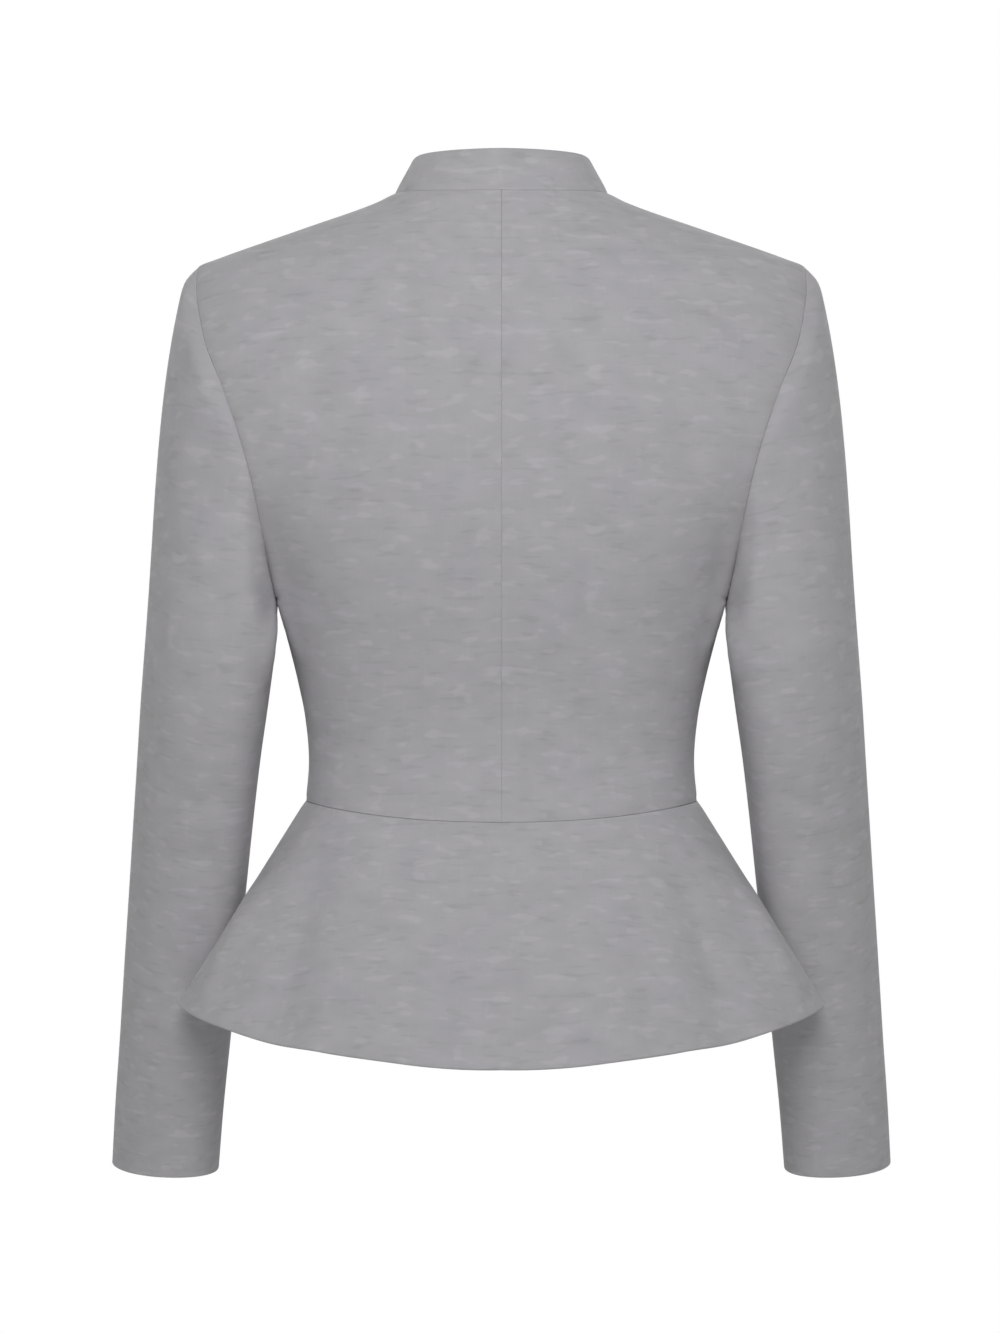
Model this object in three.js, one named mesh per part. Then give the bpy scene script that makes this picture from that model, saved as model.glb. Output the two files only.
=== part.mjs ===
// Open-front blazer with a stand collar, long set-in sleeves and a flared peplum,
// filled out and hollow, every piece a wall of cloth that ends a hair short of its seams.
// Millimetres, +Z up, the front towards -Y and the wearer's left towards +X.
// The origin lies between the shoulders, at the height of the side neck points.

import * as THREE from 'three';
import { mergeVertices } from 'three/addons/utils/BufferGeometryUtils.js';

// Cloth
const CLOTH = 2;
const SEAM_GAP = 0.3;
const CLOTH_COLOR = 0x9c9c9e;
const CLOTH_ROUGHNESS = 0.92;

// Heights of the bodice's landmarks at the side of the figure
const NECK_Z = 0;
const SHOULDER_Z = -46.5;
const NECK_CORNER_Z = -75;
const UNDERARM_Z = -262;
const WAIST_EASE_Z = -330;
const WAIST_Z = -393;

// How far the neck seam and the waist seam dip at the centre
const NECK_DIP = 4;
const WAIST_DIP_BACK = 11;
const WAIST_DIP_FRONT = 6;

// Front edges and neckline
const NECK_HALF_WIDTH = 70;
const FRONT_EDGE_X = 30;
const WAIST_EDGE_X = 27;
const NECKLINE_ROUNDNESS = 0.6;

// Collar band
const COLLAR_TOP_Z = 24;
const COLLAR_FRONT_RISE = 24;
const COLLAR_LEAN_BACK = 8;
const COLLAR_LEAN_SIDE = 12.5;
const COLLAR_AXIS_Y = -10;
const COLLAR_CORNER = 12;
const COLLAR_SIDE_DIP = 0.1;
const COLLAR_DIP_REACH = 20;

// Peplum and sleeve
const PEPLUM_LENGTH_CENTRE = 164;
const PEPLUM_LENGTH_SIDE = 155.5;
const CUFF_TILT = 3;
const SLEEVE_LEAN = 16;

// Sleeve head: how far it rolls out of the armhole before it falls
const ROLL_OUT = 8.7;
const ROLL_OFF_BODY = 0.7;
const ROLL_DOWN_SHOULDER = 9.6;
const ROLL_DOWN_UNDERARM = 6;
const SLEEVE_FALL = new THREE.Vector3(0.09, -0.14, -1).normalize();
const SLEEVE_FALL_SHARE = 0.76;

// Horizontal rings of the bodice. half: half the width; back and front: depths from the shoulder
// plane; square: 2 is an ellipse, more is boxier; tuck: how much narrower the front is there.
const BODICE_RINGS = [
  { z: 4, half: 59, back: 56, front: 26, square: 2.0, tuck: 0 },
  { z: 0, half: 70, back: 59, front: 30, square: 2.0, tuck: 0 },
  { z: -6, half: 82.5, back: 61.5, front: 36, square: 1.9, tuck: 0 },
  { z: -23, half: 131.5, back: 69, front: 50, square: 1.75, tuck: 0 },
  { z: -42, half: 186, back: 77, front: 63, square: 1.65, tuck: 0 },
  { z: -46.5, half: 197, back: 79, front: 66, square: 1.65, tuck: 0 },
  { z: -61, half: 204, back: 84, front: 74, square: 1.75, tuck: 6 },
  { z: -80, half: 207.5, back: 89, front: 82, square: 1.95, tuck: 14 },
  { z: -100, half: 209, back: 92.5, front: 89, square: 2.2, tuck: 24 },
  { z: -133, half: 206, back: 96, front: 98, square: 2.45, tuck: 31 },
  { z: -160, half: 200, back: 98, front: 105, square: 2.5, tuck: 33 },
  { z: -185, half: 190, back: 98, front: 111, square: 2.5, tuck: 27 },
  { z: -210, half: 174, back: 96.5, front: 115, square: 2.5, tuck: 14 },
  { z: -235, half: 157, back: 94, front: 116, square: 2.5, tuck: 4.5 },
  { z: -262, half: 146.5, back: 89, front: 114, square: 2.45, tuck: 0 },
  { z: -289, half: 138.8, back: 82.5, front: 109, square: 2.4, tuck: 0 },
  { z: -315, half: 132.3, back: 76.5, front: 103, square: 2.35, tuck: 0 },
  { z: -341, half: 127.2, back: 72, front: 97, square: 2.3, tuck: 0 },
  { z: -367, half: 125.1, back: 70.5, front: 93, square: 2.25, tuck: 0 },
  { z: -393, half: 127.3, back: 74.5, front: 93, square: 2.2, tuck: 0 },
  { z: -410, half: 131, back: 79, front: 95, square: 2.2, tuck: 0 },
];

// The armhole seam: how far out it lies on the back and on the front at each height.
const ARMHOLE = [
  { z: -46.5, back: 197, front: 197 },
  { z: -61, back: 197, front: 193 },
  { z: -80, back: 194, front: 185 },
  { z: -100, back: 189, front: 175 },
  { z: -133, back: 175, front: 163 },
  { z: -160, back: 165, front: 156 },
  { z: -185, back: 158, front: 151.5 },
  { z: -210, back: 153, front: 148.5 },
  { z: -235, back: 149.5, front: 147 },
  { z: -262, back: 146.5, front: 146.5 },
];

// Horizontal rings of the sleeve below the armhole. inner and outer: where its sides lie;
// depth: front to back; y: where its middle lies, further forward as the elbow bends;
// square: how boxy its inner half is, where 2 is an ellipse.
const SLEEVE_RINGS = [
  { z: -300, inner: 146.2, outer: 233.4, depth: 113, y: 2, square: 2.8 },
  { z: -330, inner: 150.6, outer: 236.1, depth: 109, y: -3.5, square: 2.8 },
  { z: -367, inner: 156.4, outer: 239.1, depth: 103, y: -12, square: 2.8 },
  { z: -407, inner: 161.8, outer: 242.6, depth: 98, y: -23, square: 2.8 },
  { z: -447, inner: 166.7, outer: 246.1, depth: 95, y: -34, square: 2.75 },
  { z: -500, inner: 173, outer: 250.6, depth: 92, y: -46, square: 2.6 },
  { z: -555, inner: 179.7, outer: 255.2, depth: 89, y: -59, square: 2.45 },
  { z: -600, inner: 185, outer: 259.2, depth: 86, y: -69, square: 2.3 },
  { z: -641, inner: 189, outer: 262.3, depth: 84, y: -79, square: 2.15 },
];

// The peplum's hem seen from above, by the angle round the waist from the centre back. It flares
// out behind the forearms to a ridge at the side seam, and turns in to pass between them.
const PEPLUM_HEM = [
  { angle: 0, x: 0, y: 148 },
  { angle: 20, x: 62, y: 144 },
  { angle: 38, x: 112, y: 128 },
  { angle: 52, x: 143, y: 103 },
  { angle: 66, x: 174, y: 78 },
  { angle: 80, x: 200, y: 40 },
  { angle: 90, x: 209.5, y: 11 },
  { angle: 97, x: 191, y: -6 },
  { angle: 106, x: 171, y: -27 },
  { angle: 120, x: 163, y: -67 },
  { angle: 135, x: 145, y: -117 },
  { angle: 150, x: 104, y: -149 },
  { angle: 170, x: 46, y: -165 },
];

// How many strips each stretch of a piece is divided into
const WAIST_STEPS = 5;
const ARMHOLE_STEPS = 11;
const CHEST_STEPS = 3;
const SHOULDER_STEPS = 5;
const BACK_COLUMNS = 12;
const FRONT_COLUMNS = 12;
const COLLAR_STEPS = 3;
const PEPLUM_STEPS = 6;
const HEAD_STEPS = 7;
const SLEEVE_STEPS = 10;

// How much closer together strips lie near the underarm and near the sleeve head
const EASE = 1.3;

// A smooth curve through one column of a table, which never overshoots its rows.
function curveThrough(rows, key, name) {
  const sorted = [...rows].sort((a, b) => a[key] - b[key]);
  const at = sorted.map((row) => row[key]);
  const value = sorted.map((row) => row[name]);
  const rise = at.slice(1).map((x, i) => (value[i + 1] - value[i]) / (x - at[i]));
  const slope = at.map((x, i) => {
    if (i === 0) return rise[0];
    if (i === at.length - 1) return rise[i - 1];
    const product = rise[i - 1] * rise[i];
    return product <= 0 ? 0 : (2 * product) / (rise[i - 1] + rise[i]);
  });
  return (x) => {
    const last = at.length - 2;
    const found = at.findIndex((start, i) => i <= last && x <= at[i + 1]);
    const i = found < 0 ? last : found;
    const width = at[i + 1] - at[i];
    const t = THREE.MathUtils.clamp((x - at[i]) / width, 0, 1);
    const t2 = t * t;
    const t3 = t2 * t;
    return (2 * t3 - 3 * t2 + 1) * value[i] + (t3 - 2 * t2 + t) * width * slope[i]
      + (3 * t2 - 2 * t3) * value[i + 1] + (t3 - t2) * width * slope[i + 1];
  };
}

// Every column of a table as such a curve.
function curvesOf(rows, key) {
  const names = Object.keys(rows[0]).filter((name) => name !== key);
  return Object.fromEntries(names.map((name) => [name, curveThrough(rows, key, name)]));
}

const bodice = curvesOf(BODICE_RINGS, 'z');
const armhole = curvesOf(ARMHOLE, 'z');
const sleeve = curvesOf(SLEEVE_RINGS, 'z');
const hem = curvesOf(PEPLUM_HEM, 'angle');

const radians = THREE.MathUtils.degToRad;
const degrees = THREE.MathUtils.radToDeg;
const lerp = THREE.MathUtils.lerp;

function signedPower(value, power) {
  return Math.sign(value) * Math.abs(value) ** power;
}

// Evenly spaced values, drawn together towards the start where ease is over 1.
function stretch(from, to, steps, ease = 1) {
  return Array.from({ length: steps + 1 }, (_, i) => lerp(from, to, (i / steps) ** ease));
}

// A point on the bodice. The angle is 0 at the centre back, 90 at the side and 180 in front.
function ringPoint(angle, z) {
  const front = Math.abs(angle) > 90;
  const half = bodice.half(z) - (front ? bodice.tuck(z) : 0);
  const depth = front ? bodice.front(z) : bodice.back(z);
  const power = 2 / bodice.square(z);
  const across = signedPower(Math.sin(radians(angle)), power);
  const back = signedPower(Math.cos(radians(angle)), power);
  return new THREE.Vector3(half * across, depth * back, z);
}

// The height at an angle of the row that has height z at the side.
function rowHeight(angle, z) {
  const centre = Math.cos(radians(angle)) ** 2;
  const back = Math.abs(angle) < 90;
  const neck = back ? NECK_DIP * THREE.MathUtils.clamp(1 - z / SHOULDER_Z, 0, 1) : 0;
  const waist = (back ? WAIST_DIP_BACK : WAIST_DIP_FRONT)
    * THREE.MathUtils.clamp((z - WAIST_EASE_Z) / (WAIST_Z - WAIST_EASE_Z), 0, 1);
  return z - centre * (neck + waist);
}

function bodicePoint(angle, z) {
  return ringPoint(angle, rowHeight(angle, z));
}

// The angle at which the bodice lies x to the side at height z.
function angleAt(x, z, front) {
  const half = bodice.half(z) - (front ? bodice.tuck(z) : 0);
  const share = Math.min(1, x / half) ** (bodice.square(z) / 2);
  const turn = degrees(Math.asin(share));
  return front ? 180 - turn : turn;
}

// Where a panel ends at its side: the armhole, or else the shoulder or side seam.
function sideAngle(z, front) {
  const open = z < SHOULDER_Z && z > UNDERARM_Z;
  return open ? angleAt(front ? armhole.front(z) : armhole.back(z), z, front) : 90;
}

// Where the front panel ends at the middle: the neckline above, the front edge below.
function frontEdgeAngle(z) {
  const down = THREE.MathUtils.clamp(z / NECK_CORNER_Z, 0, 1);
  const neckline = lerp(FRONT_EDGE_X, NECK_HALF_WIDTH, (1 - down) ** NECKLINE_ROUNDNESS);
  const below = THREE.MathUtils.clamp((z - NECK_CORNER_Z) / (WAIST_Z - NECK_CORNER_Z), 0, 1);
  const edge = lerp(FRONT_EDGE_X, WAIST_EDGE_X, below);
  return angleAt(z > NECK_CORNER_Z ? neckline : edge, z, true);
}

// A point on the peplum, from the waist seam at 0 to the hem at 1.
function peplumPoint(angle, down) {
  const top = bodicePoint(angle, WAIST_Z);
  const side = Math.sign(angle) || 1;
  const out = new THREE.Vector3(side * hem.x(Math.abs(angle)) - top.x, hem.y(Math.abs(angle)) - top.y, 0);
  const length = lerp(PEPLUM_LENGTH_SIDE, PEPLUM_LENGTH_CENTRE, Math.cos(radians(angle)) ** 2);
  const fall = Math.sqrt(length ** 2 - out.lengthSq());
  return top.add(out.setZ(-fall).multiplyScalar(down));
}

// The outward direction of a surface given as a function of two numbers.
function outward(surface, a, b, stepA, stepB) {
  const alongA = surface(a + stepA, b).sub(surface(a - stepA, b));
  const alongB = surface(a, b + stepB).sub(surface(a, b - stepB));
  const normal = alongA.cross(alongB).normalize();
  const here = surface(a, b);
  return normal.multiplyScalar(Math.sign(normal.x * here.x + normal.y * here.y) || 1);
}

// Six times the volume that a list of triangles closes, positive where they face out.
function signedVolume(position, index) {
  const [a, b, c] = [new THREE.Vector3(), new THREE.Vector3(), new THREE.Vector3()];
  let volume = 0;
  for (let i = 0; i < index.length; i += 3) {
    a.fromBufferAttribute(position, index[i]);
    b.fromBufferAttribute(position, index[i + 1]);
    c.fromBufferAttribute(position, index[i + 2]);
    volume += a.dot(b.cross(c));
  }
  return volume;
}

// A closed wall between an outer and an inner grid of points: a divided box with its front face
// laid on the outer grid and its back face on the inner one.
function wallGeometry(outer, inner) {
  const rows = outer.length - 1;
  const columns = outer[0].length - 1;
  const box = new THREE.BoxGeometry(1, 1, 1, columns, rows, 1);
  const corners = box.attributes.position;
  for (let i = 0; i < corners.count; i += 1) {
    const column = Math.round((corners.getX(i) + 0.5) * columns);
    const row = Math.round((corners.getY(i) + 0.5) * rows);
    const point = (corners.getZ(i) > 0 ? outer : inner)[row][column];
    corners.setXYZ(i, point.x, point.y, point.z);
  }
  box.deleteAttribute('normal');
  box.deleteAttribute('uv');
  const wall = mergeVertices(box);
  const index = [];
  for (let i = 0; i < wall.index.count; i += 3) {
    const face = [wall.index.getX(i), wall.index.getX(i + 1), wall.index.getX(i + 2)];
    if (new Set(face).size === 3) index.push(...face);
  }
  if (signedVolume(wall.attributes.position, index) < 0) index.reverse();
  wall.setIndex(index);
  wall.computeVertexNormals();
  return wall;
}

// Moves a border's points towards their neighbours inside the piece, by half a seam's gap.
function drawBack(points, towards) {
  points.forEach((point, i) => {
    const step = towards[i].clone().sub(point);
    if (step.length() > SEAM_GAP) point.add(step.setLength(SEAM_GAP / 2));
  });
}

function insetSeams(grid, seams) {
  const columnOf = (column) => grid.map((row) => row.at(column));
  if (seams.bottom) drawBack(grid[0], grid[1]);
  if (seams.top) drawBack(grid.at(-1), grid.at(-2));
  if (seams.start) drawBack(columnOf(0), columnOf(1));
  if (seams.end) drawBack(columnOf(-1), columnOf(-2));
}

// A wall on a surface. cells holds the surface's two numbers for each point of the grid.
function clothOn(surface, cells, steps, seams) {
  const outer = cells.map((row) => row.map(([a, b]) => surface(a, b)));
  const inner = cells.map((row, i) => row.map(([a, b], j) => outer[i][j].clone()
    .addScaledVector(outward(surface, a, b, steps[0], steps[1]), -CLOTH)));
  insetSeams(outer, seams);
  insetSeams(inner, seams);
  return wallGeometry(outer, inner);
}

const BODICE_ROWS = [
  ...stretch(WAIST_Z, UNDERARM_Z, WAIST_STEPS).slice(0, -1),
  ...stretch(UNDERARM_Z, NECK_CORNER_Z, ARMHOLE_STEPS, EASE).slice(0, -1),
  ...stretch(NECK_CORNER_Z, SHOULDER_Z, CHEST_STEPS).slice(0, -1),
  ...stretch(SHOULDER_Z, NECK_Z, SHOULDER_STEPS),
];
const ANGLE_STEP = 0.4;
const HEIGHT_STEP = 0.4;
const DOWN_STEP = 0.01;

// Shares of the way from a panel's middle edge to its side, closer together near the side.
function columnShares(columns) {
  return stretch(0, 1, columns).map((share) => (share + Math.sin(share * Math.PI / 2)) / 2);
}

function panelCells(rows, columns, middleAngle, front) {
  const shares = columnShares(columns);
  return rows.map((z) => shares.map((share) => [lerp(middleAngle(z), sideAngle(z, front), share), z]));
}

function mirrored(cells) {
  return cells.map((row) => row.map(([angle, other]) => [-angle, other]));
}

// The two panels of the back, from the centre back seam to the armhole and side seam.
function backPanel(side) {
  const cells = panelCells(BODICE_ROWS, BACK_COLUMNS, () => 0, false);
  const seams = { bottom: true, start: true, end: true };
  return clothOn(bodicePoint, side < 0 ? mirrored(cells) : cells, [ANGLE_STEP, HEIGHT_STEP], seams);
}

// The two fronts, from the front edge and neckline to the armhole and side seam.
function frontPanel(side) {
  const cells = panelCells(BODICE_ROWS, FRONT_COLUMNS, frontEdgeAngle, true);
  const seams = { bottom: true, end: true };
  return clothOn(bodicePoint, side < 0 ? mirrored(cells) : cells, [ANGLE_STEP, HEIGHT_STEP], seams);
}

// The back of the peplum in one piece, and its two fronts.
function peplumBack() {
  const half = columnShares(BACK_COLUMNS).map((share) => 90 * share);
  const angles = [...half.slice(1).reverse().map((angle) => -angle), ...half];
  const cells = stretch(0, 1, PEPLUM_STEPS).map((down) => angles.map((angle) => [angle, down]));
  return clothOn(peplumPoint, cells, [ANGLE_STEP, DOWN_STEP], { bottom: true, start: true, end: true });
}

function peplumFront(side) {
  const edge = frontEdgeAngle(WAIST_Z);
  const angles = columnShares(FRONT_COLUMNS).map((share) => lerp(edge, 90, share));
  const cells = stretch(0, 1, PEPLUM_STEPS).map((down) => angles.map((angle) => [side * angle, down]));
  return clothOn(peplumPoint, cells, [ANGLE_STEP, DOWN_STEP], { bottom: true, end: true });
}

// The inner grid of a wall whose outer grid is given, by the directions between neighbours.
// centres holds a point inside the piece for each row, and wraps says that each row is a ring.
function insideOf(outer, centres, wraps) {
  const rows = outer.length - 1;
  const columns = outer[0].length - 1;
  return outer.map((row, i) => row.map((point, j) => {
    const before = wraps && j === 0 ? columns - 1 : Math.max(0, j - 1);
    const after = wraps && j === columns ? 1 : Math.min(columns, j + 1);
    const across = row[after].clone().sub(row[before]);
    const along = outer[Math.min(rows, i + 1)][j].clone().sub(outer[Math.max(0, i - 1)][j]);
    const normal = across.cross(along).normalize();
    const out = point.clone().sub(centres[i]).setZ(0);
    return point.clone().addScaledVector(normal, normal.dot(out) > 0 ? -CLOTH : CLOTH);
  }));
}

// The neckline's points from the centre back to the front edge, shared with the panels' edges.
function necklinePoints() {
  const back = columnShares(BACK_COLUMNS).map((share) => bodicePoint(90 * share, NECK_Z));
  const front = BODICE_ROWS.filter((z) => z < NECK_Z && z >= NECK_CORNER_Z).reverse();
  return [...back, ...front.map((z) => bodicePoint(frontEdgeAngle(z), z))];
}

// The stand collar: a band that leans in towards the neck and ends in rounded corners in front.
function collar() {
  const half = necklinePoints();
  const line = [...half.slice(1).reverse().map((point) => point.clone().setX(-point.x)), ...half];
  const reach = line.map((point, i) => {
    const end = line.at(i < line.length / 2 ? 0 : -1);
    return point.distanceTo(end);
  });
  const band = (share) => line.map((point, i) => {
    const inwards = new THREE.Vector3(-point.x, COLLAR_AXIS_Y - point.y, 0).normalize();
    const aside = point.y < 0 ? 1 : Math.abs(point.x) / NECK_HALF_WIDTH;
    const lean = lerp(COLLAR_LEAN_BACK, COLLAR_LEAN_SIDE, aside);
    const dip = COLLAR_SIDE_DIP * Math.exp(-((point.y / COLLAR_DIP_REACH) ** 2));
    const rise = (point.y < 0 ? COLLAR_FRONT_RISE : COLLAR_TOP_Z - point.z) * (1 - dip);
    const short = Math.max(0, COLLAR_CORNER - reach[i]);
    const cut = COLLAR_CORNER - Math.sqrt(COLLAR_CORNER ** 2 - short ** 2);
    const up = inwards.multiplyScalar(lean).setZ(rise);
    const height = up.length();
    return point.clone().addScaledVector(up.normalize(), lerp(SEAM_GAP, height - cut, share));
  });
  const outer = stretch(0, 1, COLLAR_STEPS).map(band);
  const centres = outer.map(() => new THREE.Vector3(0, COLLAR_AXIS_Y, 0));
  return wallGeometry(outer, insideOf(outer, centres, false));
}

// The armhole's seam as a loop: from the underarm up the front, over the shoulder, down the back.
function armholeLoop() {
  const rows = BODICE_ROWS.filter((z) => z >= UNDERARM_Z && z <= SHOULDER_Z);
  const cells = [
    ...rows.map((z) => [sideAngle(z, true), z]),
    ...rows.slice(0, -1).reverse().map((z) => [sideAngle(z, false), z]),
  ];
  const points = cells.map(([angle, z]) => bodicePoint(angle, z));
  const last = points.length - 1;
  return cells.map(([angle, z], j) => {
    const before = points[j === 0 ? last - 1 : j - 1];
    const after = points[j === last ? 1 : j + 1];
    const normal = outward(bodicePoint, angle, z, ANGLE_STEP, HEIGHT_STEP);
    const along = after.clone().sub(before).normalize();
    return { point: points[j], normal, away: along.cross(normal).normalize() };
  });
}

// The angle round the sleeve of each point of the loop: 0 outside, 90 behind, 180 at the underarm.
function loopAngles(loop) {
  const top = (loop.length - 1) / 2;
  const travelled = [0];
  for (let j = 1; j < loop.length; j += 1) {
    travelled.push(travelled[j - 1] + loop[j].point.distanceTo(loop[j - 1].point));
  }
  const total = travelled.at(-1);
  return travelled.map((length, j) => (j <= top
    ? -180 * (1 - length / travelled[top])
    : 180 * (length - travelled[top]) / (total - travelled[top])));
}

// The sleeve's ring at a height. Its inner half is boxier, and its back leans in towards the body.
function sleeveRing(angles, z) {
  const middle = (sleeve.inner(z) + sleeve.outer(z)) / 2;
  const half = (sleeve.outer(z) - sleeve.inner(z)) / 2;
  const cuffZ = SLEEVE_RINGS.at(-1).z;
  const tilt = CUFF_TILT * THREE.MathUtils.clamp((z - WAIST_Z) / (cuffZ - WAIST_Z), 0, 1);
  return angles.map((angle) => {
    const across = Math.cos(radians(angle + SLEEVE_LEAN));
    const power = 2 / (across < 0 ? sleeve.square(z) : 2);
    const out = signedPower(across, power);
    const back = signedPower(Math.sin(radians(angle)), power);
    return new THREE.Vector3(middle + half * out, sleeve.y(z) + back * sleeve.depth(z) / 2, z - tilt * back);
  });
}

// One sleeve for the wearer's left, as the points of its outer face: rings round the sleeve,
// from the armhole over the sleeve head to the cuff, each from the underarm seam back to it.
function sleeveRings(loop) {
  const angles = loopAngles(loop);
  const top = sleeveRing(angles, SLEEVE_RINGS[0].z);
  const lines = loop.map(({ point, normal, away }, j) => {
    const shoulder = (1 + Math.cos(radians(angles[j]))) / 2;
    const fall = lerp(ROLL_DOWN_UNDERARM, ROLL_DOWN_SHOULDER, shoulder);
    const roll = new THREE.Vector3(ROLL_OUT * shoulder, 0, -fall).addScaledVector(normal, ROLL_OFF_BODY);
    const foldsBack = Math.max(0, -roll.clone().normalize().dot(away));
    const start = point.clone().addScaledVector(away, SEAM_GAP).addScaledVector(normal, SEAM_GAP * foldsBack);
    const head = start.clone().add(roll);
    const third = head.distanceTo(top[j]) / 3;
    const leave = roll.normalize().lerp(SLEEVE_FALL, SLEEVE_FALL_SHARE).normalize();
    const curve = new THREE.CubicBezierCurve3(
      head,
      head.clone().addScaledVector(leave, third),
      top[j].clone().addScaledVector(SLEEVE_FALL, -third),
      top[j],
    );
    return [start, ...stretch(0, 1, HEAD_STEPS, EASE).map((share) => curve.getPoint(share))];
  });
  const capped = lines[0].map((_, i) => lines.map((line) => line[i]));
  const below = stretch(SLEEVE_RINGS[0].z, SLEEVE_RINGS.at(-1).z, SLEEVE_STEPS).slice(1);
  return [...capped, ...below.map((z) => sleeveRing(angles, z))];
}

function sleevePiece(side) {
  const loop = armholeLoop();
  const outer = sleeveRings(loop);
  const centres = outer.map((ring) => ring.reduce((sum, point) => sum.add(point), new THREE.Vector3())
    .divideScalar(ring.length));
  const inner = insideOf(outer, centres, true);
  // At the armhole the wall's end never leans over the panel's edge.
  inner[0].forEach((point, j) => {
    const depth = point.sub(outer[0][j]);
    const overlap = Math.min(0, depth.dot(loop[j].away));
    depth.addScaledVector(loop[j].away, -overlap).setLength(CLOTH);
    point.add(outer[0][j]);
  });
  [outer, inner].forEach((grid) => {
    insetSeams(grid, { start: true, end: true });
    grid.flat().forEach((point) => point.setX(side * point.x));
  });
  return wallGeometry(outer, inner);
}

const SIDES = [{ name: 'left', side: 1 }, { name: 'right', side: -1 }];

// Adds one named piece, in its own material.
function addPiece(group, name, geometry) {
  const material = new THREE.MeshStandardMaterial({
    color: CLOTH_COLOR,
    roughness: CLOTH_ROUGHNESS,
    metalness: 0,
  });
  const mesh = new THREE.Mesh(geometry, material);
  mesh.name = name;
  group.add(mesh);
}

const blazer = new THREE.Group();
for (const { name, side } of SIDES) {
  addPiece(blazer, `back_${name}`, backPanel(side));
  addPiece(blazer, `front_${name}`, frontPanel(side));
  addPiece(blazer, `sleeve_${name}`, sleevePiece(side));
  addPiece(blazer, `peplum_front_${name}`, peplumFront(side));
}
addPiece(blazer, 'peplum_back', peplumBack());
addPiece(blazer, 'collar', collar());

export default blazer;
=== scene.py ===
"""Open-front blazer in slubbed light grey suiting, seen from behind on a white studio sweep.

The sheets are drawn in millimetres by the same rings and lines as the solids, and their
meshes are in metres, +Z up, the open front towards -Y and the wearer's left towards +X.
"""
from __future__ import annotations

import logging
import math
from dataclasses import dataclass, field, replace
from enum import Enum
from typing import ClassVar, Sequence

import bmesh
import bpy
import numpy as np
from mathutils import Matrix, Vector

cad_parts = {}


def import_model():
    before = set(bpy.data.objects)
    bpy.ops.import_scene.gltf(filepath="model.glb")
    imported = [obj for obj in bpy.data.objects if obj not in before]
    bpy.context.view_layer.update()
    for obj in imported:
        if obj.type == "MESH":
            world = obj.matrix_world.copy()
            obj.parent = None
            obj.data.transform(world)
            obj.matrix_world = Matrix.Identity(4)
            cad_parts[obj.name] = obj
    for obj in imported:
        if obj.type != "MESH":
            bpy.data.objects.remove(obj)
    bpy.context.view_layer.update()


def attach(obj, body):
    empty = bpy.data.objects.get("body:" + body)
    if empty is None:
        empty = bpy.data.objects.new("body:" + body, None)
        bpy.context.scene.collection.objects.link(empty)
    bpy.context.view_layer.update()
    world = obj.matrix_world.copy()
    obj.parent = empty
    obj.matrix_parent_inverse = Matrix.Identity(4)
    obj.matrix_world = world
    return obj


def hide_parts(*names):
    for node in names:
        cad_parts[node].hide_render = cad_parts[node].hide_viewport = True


log = logging.getLogger("blazer")

MM = 0.001
TINY = 1e-9
BODY = "root"


# Curves and surfaces

class Curve:
    """A smooth curve through one column of a table, which never overshoots its rows."""

    def __init__(self, at: Sequence[float], value: Sequence[float]) -> None:
        """Sorts the rows and works out the curve's slope at each.

        Args:
            at: The column that the curve is read by.
            value: The column that it gives.
        """
        order = np.argsort(at)
        self.at = np.asarray(at, float)[order]
        self.value = np.asarray(value, float)[order]
        rise = np.diff(self.value) / np.diff(self.at)
        product = rise[:-1] * rise[1:]
        total = np.where(product > 0, rise[:-1] + rise[1:], 1.0)
        middle = np.where(product > 0, 2 * product / total, 0.0)
        self.slope = np.concatenate([rise[:1], middle, rise[-1:]])

    def __call__(self, x: np.ndarray | float) -> np.ndarray:
        """Reads the curve.

        Args:
            x: Where, as a number or an array.

        Returns:
            The curve's values there.
        """
        x = np.asarray(x, float)
        i = np.clip(np.searchsorted(self.at, x) - 1, 0, len(self.at) - 2)
        width = self.at[i + 1] - self.at[i]
        t = np.clip((x - self.at[i]) / width, 0, 1)
        t2, t3 = t * t, t * t * t
        return ((2 * t3 - 3 * t2 + 1) * self.value[i] + (t3 - 2 * t2 + t) * width * self.slope[i]
                + (3 * t2 - 2 * t3) * self.value[i + 1] + (t3 - t2) * width * self.slope[i + 1])


def curves(names: str, rows: Sequence[Sequence[float]]) -> dict[str, Curve]:
    """Every column of a table as a curve of the first one.

    Args:
        names: The columns' names, the first being the one that the rest are read by.
        rows: The table's rows.

    Returns:
        A curve for each name but the first.
    """
    table = np.asarray(rows, float).T
    return {name: Curve(table[0], table[i]) for i, name in enumerate(names.split()) if i}


def unit(vectors: np.ndarray) -> np.ndarray:
    """The same directions, each of length one."""
    return vectors / np.maximum(np.linalg.norm(vectors, axis=-1, keepdims=True), TINY)


def travelled(points: np.ndarray) -> np.ndarray:
    """The length walked along a line of points up to each of them."""
    return np.concatenate([[0.0], np.cumsum(np.linalg.norm(np.diff(points, axis=0), axis=1))])


def along(values: np.ndarray, at: np.ndarray) -> np.ndarray:
    """Reads a line of values at places between its entries.

    Args:
        values: One value or point for each entry.
        at: Places as fractional entry numbers.

    Returns:
        The values there.
    """
    low = np.clip(np.floor(at).astype(int), 0, len(values) - 2)
    part = (at - low).reshape(-1, *[1] * (values.ndim - 1))
    return values[low] * (1 - part) + values[low + 1] * part


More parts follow.
